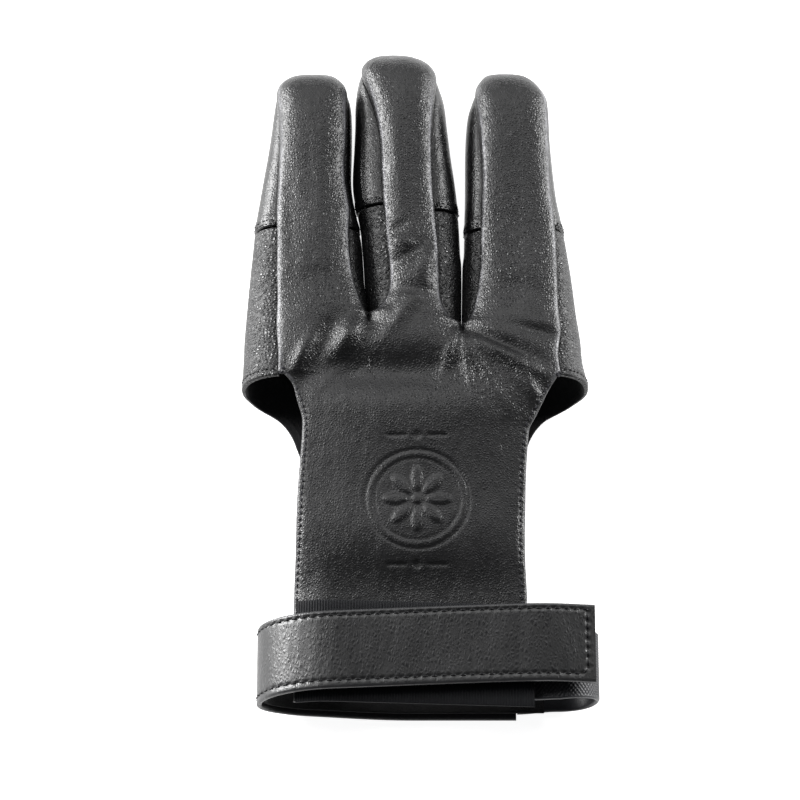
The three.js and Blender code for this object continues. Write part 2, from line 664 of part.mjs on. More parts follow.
function rimPlace(inward) {
  const wall = RIM.at(WALL_PLACE).inward;
  if (inward <= wall) return RIM.find(inward);
  const wanted = ((inward - wall) / (1 - wall)) * RIM_LENGTHS[RIM_LENGTHS.length - 1];
  let i = RIM_LENGTHS.findIndex((length) => length >= wanted);
  i = i < 1 ? RIM_LENGTHS.length - 1 : i;
  const f = (wanted - RIM_LENGTHS[i - 1]) / (RIM_LENGTHS[i] - RIM_LENGTHS[i - 1]);
  return WALL_PLACE + ((i - 1 + Math.min(f, 1)) * (RIM.last - WALL_PLACE)) / (RIM_LENGTHS.length - 1);
}

// A flat band that follows a path in the XZ plane; shift moves its centre line along Y.
function band(path, width, thickness) {
  const rows = path.map(({ x, z, shift }) => {
    const centre = STRAP_Y + shift;
    return [centre - width / 2, centre, centre + width / 2].map((y) => new THREE.Vector3(x, y, z));
  });
  return new Sheet().grid(rows).thicken(thickness);
}

// Heights of the strap's layers over the tongue, and how they fall away at its left bend. depth is how far a
// layer lies below the strap's outer face.
const LAYERS = STRAP_LEATHER + SEAM_GAP + TAPE + SEAM_GAP;
const TAPE_GAP = 0.4; // between the tongue and its tape
const BEND_MIDDLE = 9; // height of the bend's furthest point
const BEND_START = -22; // where the strap begins to fall
const RISE_START = -29; // where it begins to rise below the wrist
const crest = (depth) => TONGUE_HEIGHT + TAPE_GAP + TAPE + LAYERS - depth;

function crestHeight(x, depth) {
  const out = clamp((BEND_START - x) / (BEND_START + STRAP_LEFT - depth), 0, 1);
  return BEND_MIDDLE + (crest(depth) - BEND_MIDDLE) * Math.sqrt(1 - out ** 2);
}

// The free end droops from the edge of the tongue on, as if it ran on past its end by a little.
const DROOP_OVERRUN = 4;
const DROOP_CURVE = 1.3;

// The strap from the joint below the wrist round the left bend to its free end. start and end are where a
// layer begins and stops.
function strapPath(depth, start, end) {
  const top = crest(depth);
  const left = -STRAP_LEFT + depth;
  const path = places(start, RISE_START, BELOW_STEPS).map((x) => ({ x, z: depth }));
  for (const angle of places(Math.PI / 2, 0, BAND_STEPS).slice(1)) {
    const [out, down] = arc(angle, 2);
    path.push({ x: mix(RISE_START, left, out), z: mix(BEND_MIDDLE, depth, down) });
  }
  for (const angle of places(0, Math.PI / 2, BAND_STEPS).slice(1)) {
    const [out, up] = arc(angle, 2);
    path.push({ x: mix(BEND_START, left, out), z: mix(BEND_MIDDLE, top, up) });
  }
  for (const x of places(BEND_START, end, OVER_STEPS).slice(1)) {
    const droop = STRAP_END_DROOP * smooth(x, TONGUE_WIDTH / 2, STRAP_END + DROOP_OVERRUN) ** DROOP_CURVE;
    path.push({ x, z: top - droop });
  }
  return path.map((p) => ({ ...p, shift: strapShift(p.x, p.z, top) }));
}

// The strap runs a little askew: lower below the wrist than over the tongue.
const SKEW_START = 10; // how far before the left bend the skew over the tongue begins

function strapShift(x, z, top) {
  const below = mix(STRAP_SHIFTS.bend, STRAP_SHIFTS.joint, smooth(x, -STRAP_LEFT, 0));
  const over = mix(STRAP_SHIFTS.bend, STRAP_SHIFTS.end, smooth(x, -STRAP_LEFT - SKEW_START, STRAP_END));
  return mix(below, over, smooth(z, 0, top / 2));
}

function strapLeather() {
  return band(strapPath(0, JOINT_X, STRAP_END), STRAP_WIDTH, STRAP_LEATHER);
}

function strapLining() {
  const path = strapPath(STRAP_LEATHER + SEAM_GAP, JOINT_X + JOINT_LAP, STRAP_END - LINING_MARGIN);
  return band(path, STRAP_WIDTH - 2 * LINING_MARGIN, TAPE);
}

// The elastic runs from below the tongue round the right bend to the strap's lower end.
const LOWER_BEND = 2.2; // exponent of the bend's lower half, a little squarer than an ellipse
const ELASTIC_OVER_STEPS = 6;
const ELASTIC_BELOW_STEPS = 4;

function elasticWeb() {
  const start = TONGUE_HEIGHT - BACK_LEATHER - SEAM_GAP;
  const high = TONGUE_HEIGHT - ELASTIC_SAG;
  const bend = ELASTIC_REACH - ELASTIC_BEND;
  const { tongue, reach, below, joint } = ELASTIC_SHIFTS;
  const quarter = Math.PI / 2;
  const path = places(TONGUE_WIDTH / 2 - ELASTIC_LAP, bend, ELASTIC_OVER_STEPS).map((x) => {
    return { x, z: mix(start, high, smooth(x, TONGUE_WIDTH / 2 + 1, bend)), shift: tongue };
  });
  for (const angle of places(quarter, 0, BAND_STEPS).slice(1)) {
    const [out, up] = arc(angle, 2);
    const shift = mix(reach, tongue, angle / quarter);
    path.push({ x: mix(bend, ELASTIC_REACH, out), z: mix(ELASTIC_MIDDLE, high, up), shift });
  }
  for (const angle of places(0, quarter, BAND_STEPS).slice(1)) {
    const [out, down] = arc(angle, LOWER_BEND);
    const shift = mix(reach, below, angle / quarter);
    path.push({ x: mix(bend, ELASTIC_REACH, out), z: mix(ELASTIC_MIDDLE, 0, down), shift });
  }
  for (const x of places(bend, JOINT_X + SEAM_GAP, ELASTIC_BELOW_STEPS).slice(1)) {
    path.push({ x, z: 0, shift: mix(joint, below, smooth(x, JOINT_X, bend)) });
  }
  return band(path, ELASTIC_WIDTH, WEBBING);
}

// The ribbed tape that is sewn across the end of the tongue.
function baseStrip() {
  const row = TONGUE.at(TONGUE.last);
  const [left, right] = [row.left * TONGUE_WIDTH, row.right * TONGUE_WIDTH];
  const z = TONGUE_HEIGHT + TAPE_GAP + TAPE;
  const rows = tongueColumns().map((share) => {
    const x = mix(left + BASE_STRIP_INSET, right + BASE_STRIP_OVERHANG, share);
    const end = -TONGUE_LENGTH - TONGUE_END_TILT * (share - 0.5) - BASE_STRIP_OVERHANG;
    const ys = [end, end + BASE_STRIP_WIDTH / 2, end + BASE_STRIP_WIDTH];
    return ys.map((y) => new THREE.Vector3(x, y, z - tongueDroop(x)));
  });
  return new Sheet().grid(rows).thicken(TAPE);
}

const SMOOTH_LEATHER = new THREE.MeshStandardMaterial({ color: 0x2b2b2d, roughness: 0.42, metalness: 0 });
const GRAINED_LEATHER = new THREE.MeshStandardMaterial({ color: 0x262628, roughness: 0.5, metalness: 0 });
const RIBBED_TAPE = new THREE.MeshStandardMaterial({ color: 0x1e1f22, roughness: 0.8, metalness: 0 });
const WOVEN_ELASTIC = new THREE.MeshStandardMaterial({ color: 0x222326, roughness: 0.75, metalness: 0 });
const LOOP_TAPE = new THREE.MeshStandardMaterial({ color: 0x121213, roughness: 0.95, metalness: 0 });

const glove = new THREE.Group();

function place(name, geometry, material) {
  const mesh = new THREE.Mesh(geometry, material);
  mesh.name = name;
  glove.add(mesh);
}

place("back_panel", backPanel(), SMOOTH_LEATHER);
place("palm_panel", palmPanel(), GRAINED_LEATHER);
for (const name of NAMES) place(`${name}_tip`, tip(name), GRAINED_LEATHER);
place("base_strip", baseStrip(), RIBBED_TAPE);
place("elastic_web", elasticWeb(), WOVEN_ELASTIC);
place("strap_leather", strapLeather(), GRAINED_LEATHER);
place("strap_lining", strapLining(), LOOP_TAPE);

export default glove;
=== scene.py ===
# %% [markdown]
# A three-finger archery glove
#
# The real glove is sewn from soft black leather. One smooth sheet makes the backs of three finger stalls, the
# back of the hand and a long tongue, a grained sheet closes the stalls from below, firm leather caps the
# tips, and a strap of leather, tape and elastic goes round the wrist. The frame below holds those pieces as
# plain solids at their real size. Each one is dressed here: it is built again in the same place with fine
# leather, rolled edges, folds and stitches. Every length below is in millimetres until a mesh is made.

# %% Load the frame
import math
from functools import partial

import bpy
import numpy as np
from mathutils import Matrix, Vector, noise
from mathutils.bvhtree import BVHTree
from mathutils.kdtree import KDTree


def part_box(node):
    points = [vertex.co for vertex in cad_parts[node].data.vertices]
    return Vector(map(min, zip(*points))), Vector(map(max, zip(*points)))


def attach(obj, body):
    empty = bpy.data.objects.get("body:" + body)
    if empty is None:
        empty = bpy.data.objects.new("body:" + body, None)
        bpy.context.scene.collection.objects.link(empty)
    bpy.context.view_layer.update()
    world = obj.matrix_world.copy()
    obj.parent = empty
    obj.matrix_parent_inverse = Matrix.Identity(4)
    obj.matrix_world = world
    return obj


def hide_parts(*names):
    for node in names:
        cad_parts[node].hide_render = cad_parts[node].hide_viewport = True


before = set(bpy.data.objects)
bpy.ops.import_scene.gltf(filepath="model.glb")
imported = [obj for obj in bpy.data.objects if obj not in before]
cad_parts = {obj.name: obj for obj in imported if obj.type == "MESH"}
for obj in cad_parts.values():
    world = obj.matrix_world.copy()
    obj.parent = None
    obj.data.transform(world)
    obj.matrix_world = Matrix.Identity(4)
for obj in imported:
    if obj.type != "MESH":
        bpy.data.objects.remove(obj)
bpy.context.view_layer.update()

MM = 0.001
print("solids in the frame:", ", ".join(sorted(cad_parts)))

# %% [markdown]
# The camera and the light
#
# The glove lies palm down on a white sheet and is seen from high above its wrist. A long lens keeps the lines
# nearly parallel. Black leather shows its shape by what it mirrors. Two soft boxes stand low at the sides and
# towards the fingertips, and draw the bright lines on every rolled edge, helped by a pale painted highlight
# along those edges. A large one beyond the fingertips mirrors evenly in the flat leather. The sheet glows a
# little, like a light table, so that the walls of the stalls turn silver. A point light would only make small
# hot spots.

# %% The camera
LOOK_AT = (-3.5, -5.1, 12)
CAMERA_DISTANCE = 1100
CAMERA_ELEVATION = math.radians(70)
SENSOR = 36
VIEW_WIDTH = 235.3  # what the picture is wide at the glove
SIGHT = 20  # how far the camera sees, in metres

camera_data = bpy.data.cameras.new("camera")
camera_data.sensor_width = SENSOR
camera_data.lens = SENSOR * CAMERA_DISTANCE / VIEW_WIDTH
camera_data.clip_end = SIGHT
camera = bpy.data.objects.new("camera", camera_data)
bpy.context.scene.collection.objects.link(camera)
bpy.context.scene.camera = camera
behind = Vector((0, -math.cos(CAMERA_ELEVATION), math.sin(CAMERA_ELEVATION))) * CAMERA_DISTANCE
camera.location = (Vector(LOOK_AT) + behind) * MM
camera.rotation_euler = (math.pi / 2 - CAMERA_ELEVATION, 0, 0)
print("lens:", round(camera_data.lens, 1), "mm")

# %% The floor and the lights
FLOOR_SIZE = 6  # in metres, as the places and the sizes of the lights are
LIGHT = "name place size watts"
LIGHTS = [
    ("left_box", (-0.88, 0.47, 0.26), (0.46, 0.55), 21),
    ("right_box", (0.88, 0.47, 0.3), (0.4, 0.55), 13),
    ("far_box", (0, 1.1, 1.15), (1.5, 1.1), 10.5),
    ("glint_box", (-0.72, 0.5, 1.0), (0.3, 0.5), 4),
]
ROOM_COLOUR = (0.95, 0.97, 1, 1)
ROOM_LIGHT = 0.09

bpy.ops.object.select_all(action="DESELECT")
bpy.ops.mesh.primitive_plane_add(size=FLOOR_SIZE, location=(0, 0, 0))
floor = bpy.context.object
floor.name = "floor"

for row in LIGHTS:
    box = dict(zip(LIGHT.split(), row))
    data = bpy.data.lights.new(box["name"], "AREA")
    data.shape = "RECTANGLE"
    data.size, data.size_y = box["size"]
    data.energy = box["watts"]
    light = bpy.data.objects.new(box["name"], data)
    light.location = box["place"]
    light.rotation_euler = (-Vector(box["place"])).to_track_quat("-Z", "Y").to_euler()
    bpy.context.scene.collection.objects.link(light)

bpy.context.scene.view_settings.view_transform = "Standard"
world = bpy.data.worlds.new("studio")
world.use_nodes = True
background = world.node_tree.nodes["Background"]
background.inputs["Color"].default_value = ROOM_COLOUR
background.inputs["Strength"].default_value = ROOM_LIGHT
bpy.context.scene.world = world
print("lights:", ", ".join(row[0] for row in LIGHTS))

# %% [markdown]
# Materials from nodes
#
# A leather's look is three things: a dark dyed colour, a grain that is raised from the hide, and a finish
# whose gloss changes over the hide. All three come from patterns in the piece's own coordinates, so that the
# grain keeps its real size everywhere. One small function adds a node with its values and links, and colours
# are written as they look on a screen and turned linear once.

# %% Helpers for materials
def linear(code):
    """A colour code as it looks on a screen, turned to the linear values that a shader needs."""
    channels = [int(code[i : i + 2], 16) / 255 for i in (1, 3, 5)]
    return tuple(c / 12.92 if c <= 0.04045 else ((c + 0.055) / 1.055) ** 2.4 for c in channels) + (1.0,)


def add(material, kind, values=None, **settings):
    """Adds one node. values gives an input a number, a colour or another node's output."""
    made = material.node_tree.nodes.new("ShaderNode" + kind)
    for name, value in settings.items():
        setattr(made, name, value)
    for name, value in (values or {}).items():
        if isinstance(value, bpy.types.NodeSocket):
            material.node_tree.links.new(value, made.inputs[name])
        else:
            made.inputs[name].default_value = value
    return made


def new_material(name, roughness, shine=0.5):
    """shine is the specular level: 0.5 for a closed finish, less where fibres swallow the light."""
    material = bpy.data.materials.new(name)
    material.use_nodes = True
    shader = material.node_tree.nodes["Principled BSDF"]
    shader.inputs["Roughness"].default_value = roughness
    shader.inputs["Specular IOR Level"].default_value = shine
    return material, shader


def calculate(material, operation, *values):
    return add(material, "Math", dict(enumerate(values)), operation=operation).outputs[0]


def cloud(material, place, size, detail=2, roughness=0.5):
    """Soft noise whose lumps are size mm wide."""
    values = {"Vector": place, "Scale": 1 / (size * MM), "Detail": detail, "Roughness": roughness}
    return add(material, "TexNoise", values)


def bump(material, height, distance, strength=1.0, **below):
    """Raises a surface by up to a distance in mm. below can give the Normal of another bump."""
    values = {"Height": height, "Distance": distance * MM, "Strength": strength, **below}
    return add(material, "Bump", values).outputs[0]


def blend(material, factor, low, high):
    values = {"Factor": factor, "A": low, "B": high}
    return add(material, "Mix", values, data_type="RGBA").outputs["Result"]


def connect(material, shader, outputs):
    """Links each output to the shader's input of that name."""
    for name, output in outputs.items():
        material.node_tree.links.new(output, shader.inputs[name])
    return material


# %% Leather
# The pale colour of rolled edges: partly worn polish, partly a painted highlight.
WEAR_AND_HIGHLIGHT_COLOUR = "#808084"
PORE = {"size": 0.35, "height": 0.1}
WRINKLE = {"size": 2.2, "height": 0.25}
HILL = {"size": 7, "height": 0.7, "gloss": 0.16}
GRAIN_DEPTH = {"stretched": 0.75, "slack": 0.8}


def leather(
    name, hide, crease_shade, cell, depth, rough, flat, wander=0.3, source="Object", stretch=(1, 1, 1), shine=0.5
):
    """Dyed leather with a pebbled grain. cell is a pebble's width and depth the height of the grain, in mm;
    rough gives the roughness on the pebbles and in the creases between them, and the crease colour is a darker
    one painted into the creases as shade. An attribute pales the rolled edges: partly the polish of worn
    leather, partly a painted highlight. slack says where the hide is crinkled."""
    material, shader = new_material(name, rough[0], shine)
    put = partial(add, material)
    where = put("TexCoord").outputs[source]
    place = put("VectorMath", {0: where, 1: stretch}, operation="MULTIPLY").outputs[0]
    wear_and_highlight, slack = (put("Attribute", attribute_name=mark).outputs["Fac"] for mark in ("wear_and_highlight", "slack"))
    # The pebbles are cells that a swirl pushes out of shape, domed towards their creases.
    swirl = cloud(material, place, 3.1 * cell).outputs["Color"]
    centred = put("VectorMath", {0: swirl, 1: (0.5, 0.5, 0.5)}, operation="SUBTRACT").outputs[0]
    pushed = put("VectorMath", {0: centred, "Scale": 3 * wander * cell * MM}, operation="SCALE").outputs[0]
    moved = put("VectorMath", {0: place, 1: pushed}).outputs[0]
    cells = put("TexVoronoi", {"Vector": moved, "Scale": 1 / (cell * MM)}, feature="DISTANCE_TO_EDGE")
    dome = {"Value": cells.outputs["Distance"], "From Max": flat}
    grain = put("MapRange", dome, interpolation_type="SMOOTHSTEP").outputs[0]
    pores = cloud(material, place, PORE["size"]).outputs["Fac"]
    long = put("VectorMath", {0: place, 1: (1, 0.5, 1)}, operation="MULTIPLY").outputs[0]
    hills = cloud(material, long, HILL["size"], 3).outputs["Fac"]
    wrinkles = cloud(material, place, WRINKLE["size"]).outputs["Fac"]
    # Slack leather has a deeper grain and small wrinkles.
    height = calculate(material, "MULTIPLY_ADD", pores, PORE["height"], grain)
    deeper = calculate(material, "MULTIPLY_ADD", slack, GRAIN_DEPTH["slack"], GRAIN_DEPTH["stretched"])
    grained = calculate(material, "MULTIPLY", height, deeper)
    crinkle = calculate(material, "MULTIPLY", wrinkles, slack)
    normal = bump(material, grained, depth)
    normal = bump(material, crinkle, WRINKLE["height"], Normal=normal)
    normal = bump(material, hills, HILL["height"], 0.7, Normal=normal)
    # The creases are duller than the pebbles, and the gloss drifts a little over the hide.
    gloss = put("MapRange", {"Value": grain, "To Min": rough[1], "To Max": rough[0]}).outputs[0]
    varied = calculate(material, "MULTIPLY_ADD", hills, HILL["gloss"], gloss)
    settled = calculate(material, "SUBTRACT", varied, HILL["gloss"] / 2)
    # Painted shade: the creases take a darker colour than the pebbles, as if shade fell in them.
    shaded_in_creases = blend(material, grain, linear(crease_shade), linear(hide))
    # Painted highlight, partly real wear: the rolled edges are blended towards a pale grey.
    worn_and_highlit = blend(material, wear_and_highlight, shaded_in_creases, linear(WEAR_AND_HIGHLIGHT_COLOUR))
    return connect(material, shader, {"Base Color": worn_and_highlit, "Roughness": settled, "Normal": normal})


# The back: almost smooth, so that long soft highlights show its folds.
smooth_leather = leather("smooth_aniline_leather", "#121214", "#0b0b0c", 0.75, 0.075, (0.28, 0.38), 0.5)
# The palm: shining pebbles with painted shade in the dark creases between them. They are drawn coarser than
# real, so that they show.
grained_leather = leather(
    "pebbled_goatskin", "#111113", "#040405", 1.2, 0.24, (0.24, 0.55), 0.42, 0.1, "Object", (1, 1.35, 1), 0.6
)
# The tips: a firmer hide with a little more gloss.
tip_leather = leather("firm_tip_leather", "#111113", "#0b0b0c", 0.75, 0.08, (0.26, 0.36), 0.5)
# The strap: its grain is drawn out along the band and follows it round the bend.
strap_grain = leather(
    "pebbled_strap_leather", "#121214", "#0a0a0b", 0.85, 0.065, (0.28, 0.4), 0.5, 0.25,
    "UV", (1, 0.55, 1), 0.7,
)


# %% Flesh side, tapes, webbing and thread
def cloth(name, colour, shade, grain, depth, roughness, sheen=0.04, shine=0.14):
    """A matt fibrous surface: suede on the flesh side of leather, tape or thread. sheen is its bright nap."""
    material, shader = new_material(name, roughness, shine)
    place = add(material, "TexCoord").outputs["Object"]
    fibres = cloud(material, place, grain, 4, 0.7).outputs["Fac"]
    tone = blend(material, fibres, linear(shade), linear(colour))
    shader.inputs["Sheen Weight"].default_value = sheen
    shader.inputs["Sheen Roughness"].default_value = 0.5
    return connect(material, shader, {"Base Color": tone, "Normal": bump(material, fibres, depth)})


# Suede and pile look paler at grazing angles, tape and thread stay dark, and the elastic's knots glint.
flesh_side = cloth("suede_flesh_side", "#2c2c2e", "#161617", 0.5, 0.12, 0.9, 0.15)
ribbed_tape = cloth("ribbed_nylon_tape", "#131418", "#0a0b0d", 0.25, 0.03, 0.6)
woven_elastic = cloth("woven_elastic_webbing", "#202127", "#0f1013", 0.25, 0.03, 0.42, shine=0.45)
loop_tape = cloth("napped_loop_tape", "#161617", "#0a0a0b", 0.4, 0.2, 0.9, 0.15)
thread = cloth("bonded_polyester_thread", "#303036", "#18181c", 0.2, 0.02, 0.4)
dark_thread = cloth("black_polyester_thread", "#131316", "#0a0a0c", 0.2, 0.02, 0.4)

# The sheet below gives the leather a white surround to mirror.
floor_paint, floor_shader = new_material("white_paper", 0.8)
floor_shader.inputs["Base Color"].default_value = linear("#f7f7f7")
floor_shader.inputs["Emission Color"].default_value = (1, 1, 1, 1)
floor_shader.inputs["Emission Strength"].default_value = 0.9
floor.data.materials.append(floor_paint)
print("materials:", ", ".join(m.name for m in bpy.data.materials))

# %% [markdown]
# The pattern of the glove
#
# A glove's leather is a sheet that is bent round the fingers, so it isn't carved from blocks: a few sections
# across each stall say where its walls, seams, crown and floor lie, and a smooth sheet is lofted through
# them. The tables hold shares of the driving sizes, the same ones that the solids of the frame follow, and
# are read at any place between their rows. Lofting in code gives the even, fine mesh that folds and rolled
# edges need, which extruded primitives would not.

# %% Driving sizes
BACK_LEATHER = 1.2
PALM_LEATHER = 1.4
TIP_LEATHER = 1.5
TAPE = 1.0
WEBBING = 1.5
STRAP_LEATHER = 1.5
SEAM_GAP = 0.3
STALL_CLEARANCE = 0.2
INDEX_CROTCH = 19.7
RING_CROTCH = 16.3
CROTCH_HEIGHT = 17.5
MIDDLE_CENTRE = -0.5
STALLS = {
    "index": {"width": 30, "length": 81.2, "height": 20, "tip": 52},
    "middle": {"width": 30, "length": 87.8, "height": 21, "tip": 51.5},
    "ring": {"width": 30, "length": 84.8, "height": 20, "tip": 53},
}
NAMES = list(STALLS)
MOUTH_EDGE_HEIGHT = 22
MOUTH_INSETS = {"index": 10.6, "ring": 8.1}
MOUTH_CROWN = 26
TONGUE_LENGTH = 100
TONGUE_WIDTH = 66
TONGUE_HEIGHT = 23
TONGUE_END_TILT = 2
FLAP_LENGTH = 31
WEB_DEPTH = 13
FORKS = {
    "index": (INDEX_CROTCH, INDEX_CROTCH),
    "middle": (INDEX_CROTCH, RING_CROTCH),
    "ring": (RING_CROTCH, RING_CROTCH),
}


# %% Tables with named columns
def mix(a, b, share):
    return a + (b - a) * share


def smooth(value, start, end):
    t = np.clip((value - start) / (end - start), 0, 1)
    return t * t * (3 - 2 * t)


def ridge(distance, width):
    """1 on a line, falling off on both sides like a bell."""
    return np.exp(-((distance / width) ** 2))


def within(distance, radius, slope):
    """1 inside a radius, falling to 0 at it."""
    return smooth(-distance, -radius, slope - radius)


class Table:
    """Rows of named values that can be read at any place between them, on a smooth curve."""

    def __init__(self, names, rows):
        self.names = names.split()
        self.rows = np.array(rows, float)
        self.last = len(rows) - 1
        self.places = np.linspace(0, self.last, 200 * self.last + 1)
        self.firsts = np.array([self.values(place)[0] for place in self.places])

    def values(self, place):
        i = int(np.clip(math.floor(place), 0, self.last - 1))
        f = place - i
        a, b, c, d = (self.rows[int(np.clip(k, 0, self.last))] for k in range(i - 1, i + 3))
        return b + 0.5 * f * (c - a + f * (2 * a - 5 * b + 4 * c - d + f * (3 * (b - c) + d - a)))

    def at(self, place):
        return dict(zip(self.names, self.values(place)))

    def find(self, wanted):
        """The place at which the first column reaches a value."""
        return np.interp(wanted, self.firsts, self.places)


# %% The lines between the stalls
# up: share of the middle stall's length above the fork; left and right: the lines beside the middle stall, as
# shares of its width; index and ring: how wide those stalls may be there, as shares of their own width.
BOUNDARIES = Table(
    "up left right index ring",
    [
        (-0.225, 0.4, 0.507, 1.262, 1.25),
        (-0.15, 0.4, 0.507, 1.25, 1.2),
        (-0.06, 0.404, 0.507, 1.24, 1.18),
        (0.04, 0.415, 0.51, 1.21, 1.138),
        (0.15, 0.453, 0.515, 1.15, 1.1),
        (0.26, 0.473, 0.517, 1.103, 1.055),
        (0.37, 0.51, 0.513, 1.04, 1.01),
        (0.45, 0.557, 0.51, 0.96, 0.97),
        (0.53, 0.583, 0.5, 0.9, 0.953),
        (0.66, 0.575, 0.48, 0.852, 0.943),
        (0.82, 0.57, 0.467, 0.807, 0.933),
        (1.02, 0.57, 0.467, 0.763, 0.917),
    ],
)

# %% The sections of the stalls
# along: share of the length from the tip; gaps: from the lines to the walls, and insets: from the walls in to
# the seams, as shares of the width; rises, crown and floor: heights of the seams, of the back and of the
# underside, as shares of the height.
SECTION = "along gap_left gap_right inset_left inset_right rise_left rise_right crown floor"
SECTION_ROWS = {
    "index": [
        (0, 0.3, 0.32, 0, 0, 0.45, 0.45, 0.45, 0.45),
        (0.009, 0.165, 0.2, 0, 0, 0.455, 0.455, 0.6, 0.3),
        (0.029, 0.085, 0.132, 0, 0, 0.47, 0.47, 0.73, 0.16),
        (0.06, 0.024, 0.07, 0.003, 0.003, 0.5, 0.5, 0.84, 0.06),
        (0.106, 0.004, 0.026, 0.013, 0.023, 0.56, 0.56, 0.92, 0.01),
        (0.17, 0, 0.01, 0.055, 0.042, 0.63, 0.63, 0.97, 0),
        (0.265, 0, 0.004, 0.1, 0.043, 0.7, 0.69, 1, 0),
        (0.41, 0, 0, 0.155, 0.053, 0.76, 0.73, 1, 0),
        (0.56, 0, 0, 0.2, 0.062, 0.81, 0.76, 1.02, 0),
        (0.7, 0, 0, 0.24, 0.113, 0.86, 0.82, 1.05, 0),
        (0.84, 0, 0, 0.273, 0.103, 0.9, 0.85, 1.09, 0),
        (0.925, 0, 0, 0.297, 0.07, 0.94, 0.87, 1.12, 0),
        (0.977, 0, 0, 0.307, 0.035, 0.96, 0.875, 1.15, 0),
        (1, 0, 0, 0.31, 0, 0.97, 0.875, 1.16, 0),
    ],
    "middle": [
        (0, 0.3, 0.55, 0, 0, 0.43, 0.43, 0.43, 0.43),
        (0.01, 0.207, 0.435, 0, 0, 0.435, 0.435, 0.57, 0.3),
        (0.033, 0.113, 0.297, 0, 0, 0.45, 0.45, 0.71, 0.16),
        (0.066, 0.063, 0.21, 0.005, 0.003, 0.48, 0.48, 0.83, 0.05),
        (0.11, 0.03, 0.162, 0.053, 0.023, 0.57, 0.57, 0.91, 0.01),
        (0.172, 0.012, 0.112, 0.133, 0.09, 0.65, 0.65, 0.965, 0),
        (0.262, 0.012, 0.09, 0.203, 0.14, 0.73, 0.73, 0.99, 0),
        (0.364, 0.006, 0.069, 0.26, 0.185, 0.785, 0.785, 1, 0),
        (0.5, 0, 0.038, 0.283, 0.232, 0.81, 0.81, 1, 0),
        (0.612, 0, 0.02, 0.245, 0.233, 0.825, 0.825, 1.01, 0),
        (0.737, 0, 0.01, 0.225, 0.217, 0.855, 0.855, 1.04, 0),
        (0.85, 0, 0.002, 0.237, 0.208, 0.86, 0.86, 1.08, 0),
        (0.923, 0, 0, 0.195, 0.19, 0.857, 0.857, 1.11, 0),
        (0.97, 0, 0, 0.12, 0.12, 0.85, 0.85, 1.12, 0),
        (0.993, 0, 0, 0.045, 0.045, 0.838, 0.838, 1.13, 0),
        (1, 0, 0, 0, 0, 0.833, 0.833, 1.13, 0),
    ],
    "ring": [
        (0, 0.41, 0.37, 0, 0, 0.45, 0.45, 0.45, 0.45),
        (0.009, 0.297, 0.237, 0, 0, 0.455, 0.455, 0.6, 0.3),
        (0.03, 0.243, 0.15, 0, 0, 0.47, 0.47, 0.73, 0.16),
        (0.064, 0.19, 0.075, 0.003, 0, 0.5, 0.5, 0.84, 0.06),
        (0.109, 0.145, 0.014, 0.033, 0.003, 0.58, 0.58, 0.92, 0.01),
        (0.161, 0.107, 0, 0.077, 0.007, 0.65, 0.66, 0.965, 0),
        (0.255, 0.077, 0, 0.13, 0.013, 0.71, 0.7, 0.99, 0),
        (0.395, 0.05, 0, 0.16, 0.038, 0.765, 0.76, 1, 0),
        (0.536, 0.028, 0, 0.16, 0.073, 0.79, 0.81, 1.01, 0),
        (0.664, 0.016, 0, 0.153, 0.107, 0.82, 0.86, 1.03, 0),
        (0.793, 0.003, 0, 0.157, 0.147, 0.85, 0.91, 1.07, 0),
        (0.887, 0, 0, 0.127, 0.173, 0.87, 0.95, 1.1, 0),
        (0.957, 0, 0, 0.085, 0.19, 0.875, 0.97, 1.13, 0),
        (0.99, 0, 0, 0.035, 0.194, 0.875, 0.98, 1.15, 0),
        (1, 0, 0, 0, 0.195, 0.875, 0.985, 1.16, 0),
    ],
}
SECTIONS = {name: Table(SECTION, rows) for name, rows in SECTION_ROWS.items()}

# %% The tongue and the lower rim
# down: share of the tongue's length; left and right: its edges, as shares of its width; rise: how far its
# height has gone from that at the mouth to that of the tongue; swell: share of the mouth's crown that is
# left; edge: 1 where the edge is still rolled down, 0 where it is a flat free edge.
TONGUE = Table(
    "down left right rise swell edge",
    [
        (0, -0.602, 0.665, 0, 1, 1),
        (0.01, -0.57, 0.655, 0.05, 0.98, 0.8),
        (0.038, -0.536, 0.629, 0.15, 0.93, 0.5),
        (0.075, -0.518, 0.597, 0.3, 0.85, 0.25),
        (0.11, -0.501, 0.57, 0.45, 0.77, 0.1),
        (0.14, -0.488, 0.547, 0.55, 0.7, 0),
        (0.175, -0.486, 0.52, 0.65, 0.63, 0),
        (0.225, -0.489, 0.511, 0.75, 0.55, 0),
        (0.31, -0.498, 0.502, 0.85, 0.45, 0),
        (0.4, -0.505, 0.497, 0.92, 0.38, 0),
        (0.55, -0.512, 0.492, 1, 0.25, 0),
        (0.67, -0.519, 0.497, 1, 0, 0),
        (0.85, -0.52, 0.505, 1, 0, 0),
        (1, -0.518, 0.513, 1, 0, 0),
    ],
)
# inward: how far in along the section, as a share of half its length; down: share of the flap's length.
RIM = Table(
    "inward down",
    [
        (0, 0.02),
        (0.11, 0.035),
        (0.215, 0.06),
        (0.31, 0.1),
        (0.37, 0.155),
        (0.45, 0.24),
        (0.493, 0.335),
        (0.52, 0.44),
        (0.536, 0.54),
        (0.552, 0.65),
        (0.562, 0.83),
        (0.572, 0.93),
        (0.6, 0.985),
        (0.65, 1),
        (0.8, 1),
        (1, 1),
    ],
)
print("sections of a stall:", {name: t.last + 1 for name, t in SECTIONS.items()})


# %% Sections from the tables
SIDE_LINES = {"index": ("outer_left", "left"), "middle": ("left", "right"), "ring": ("right", "outer_right")}


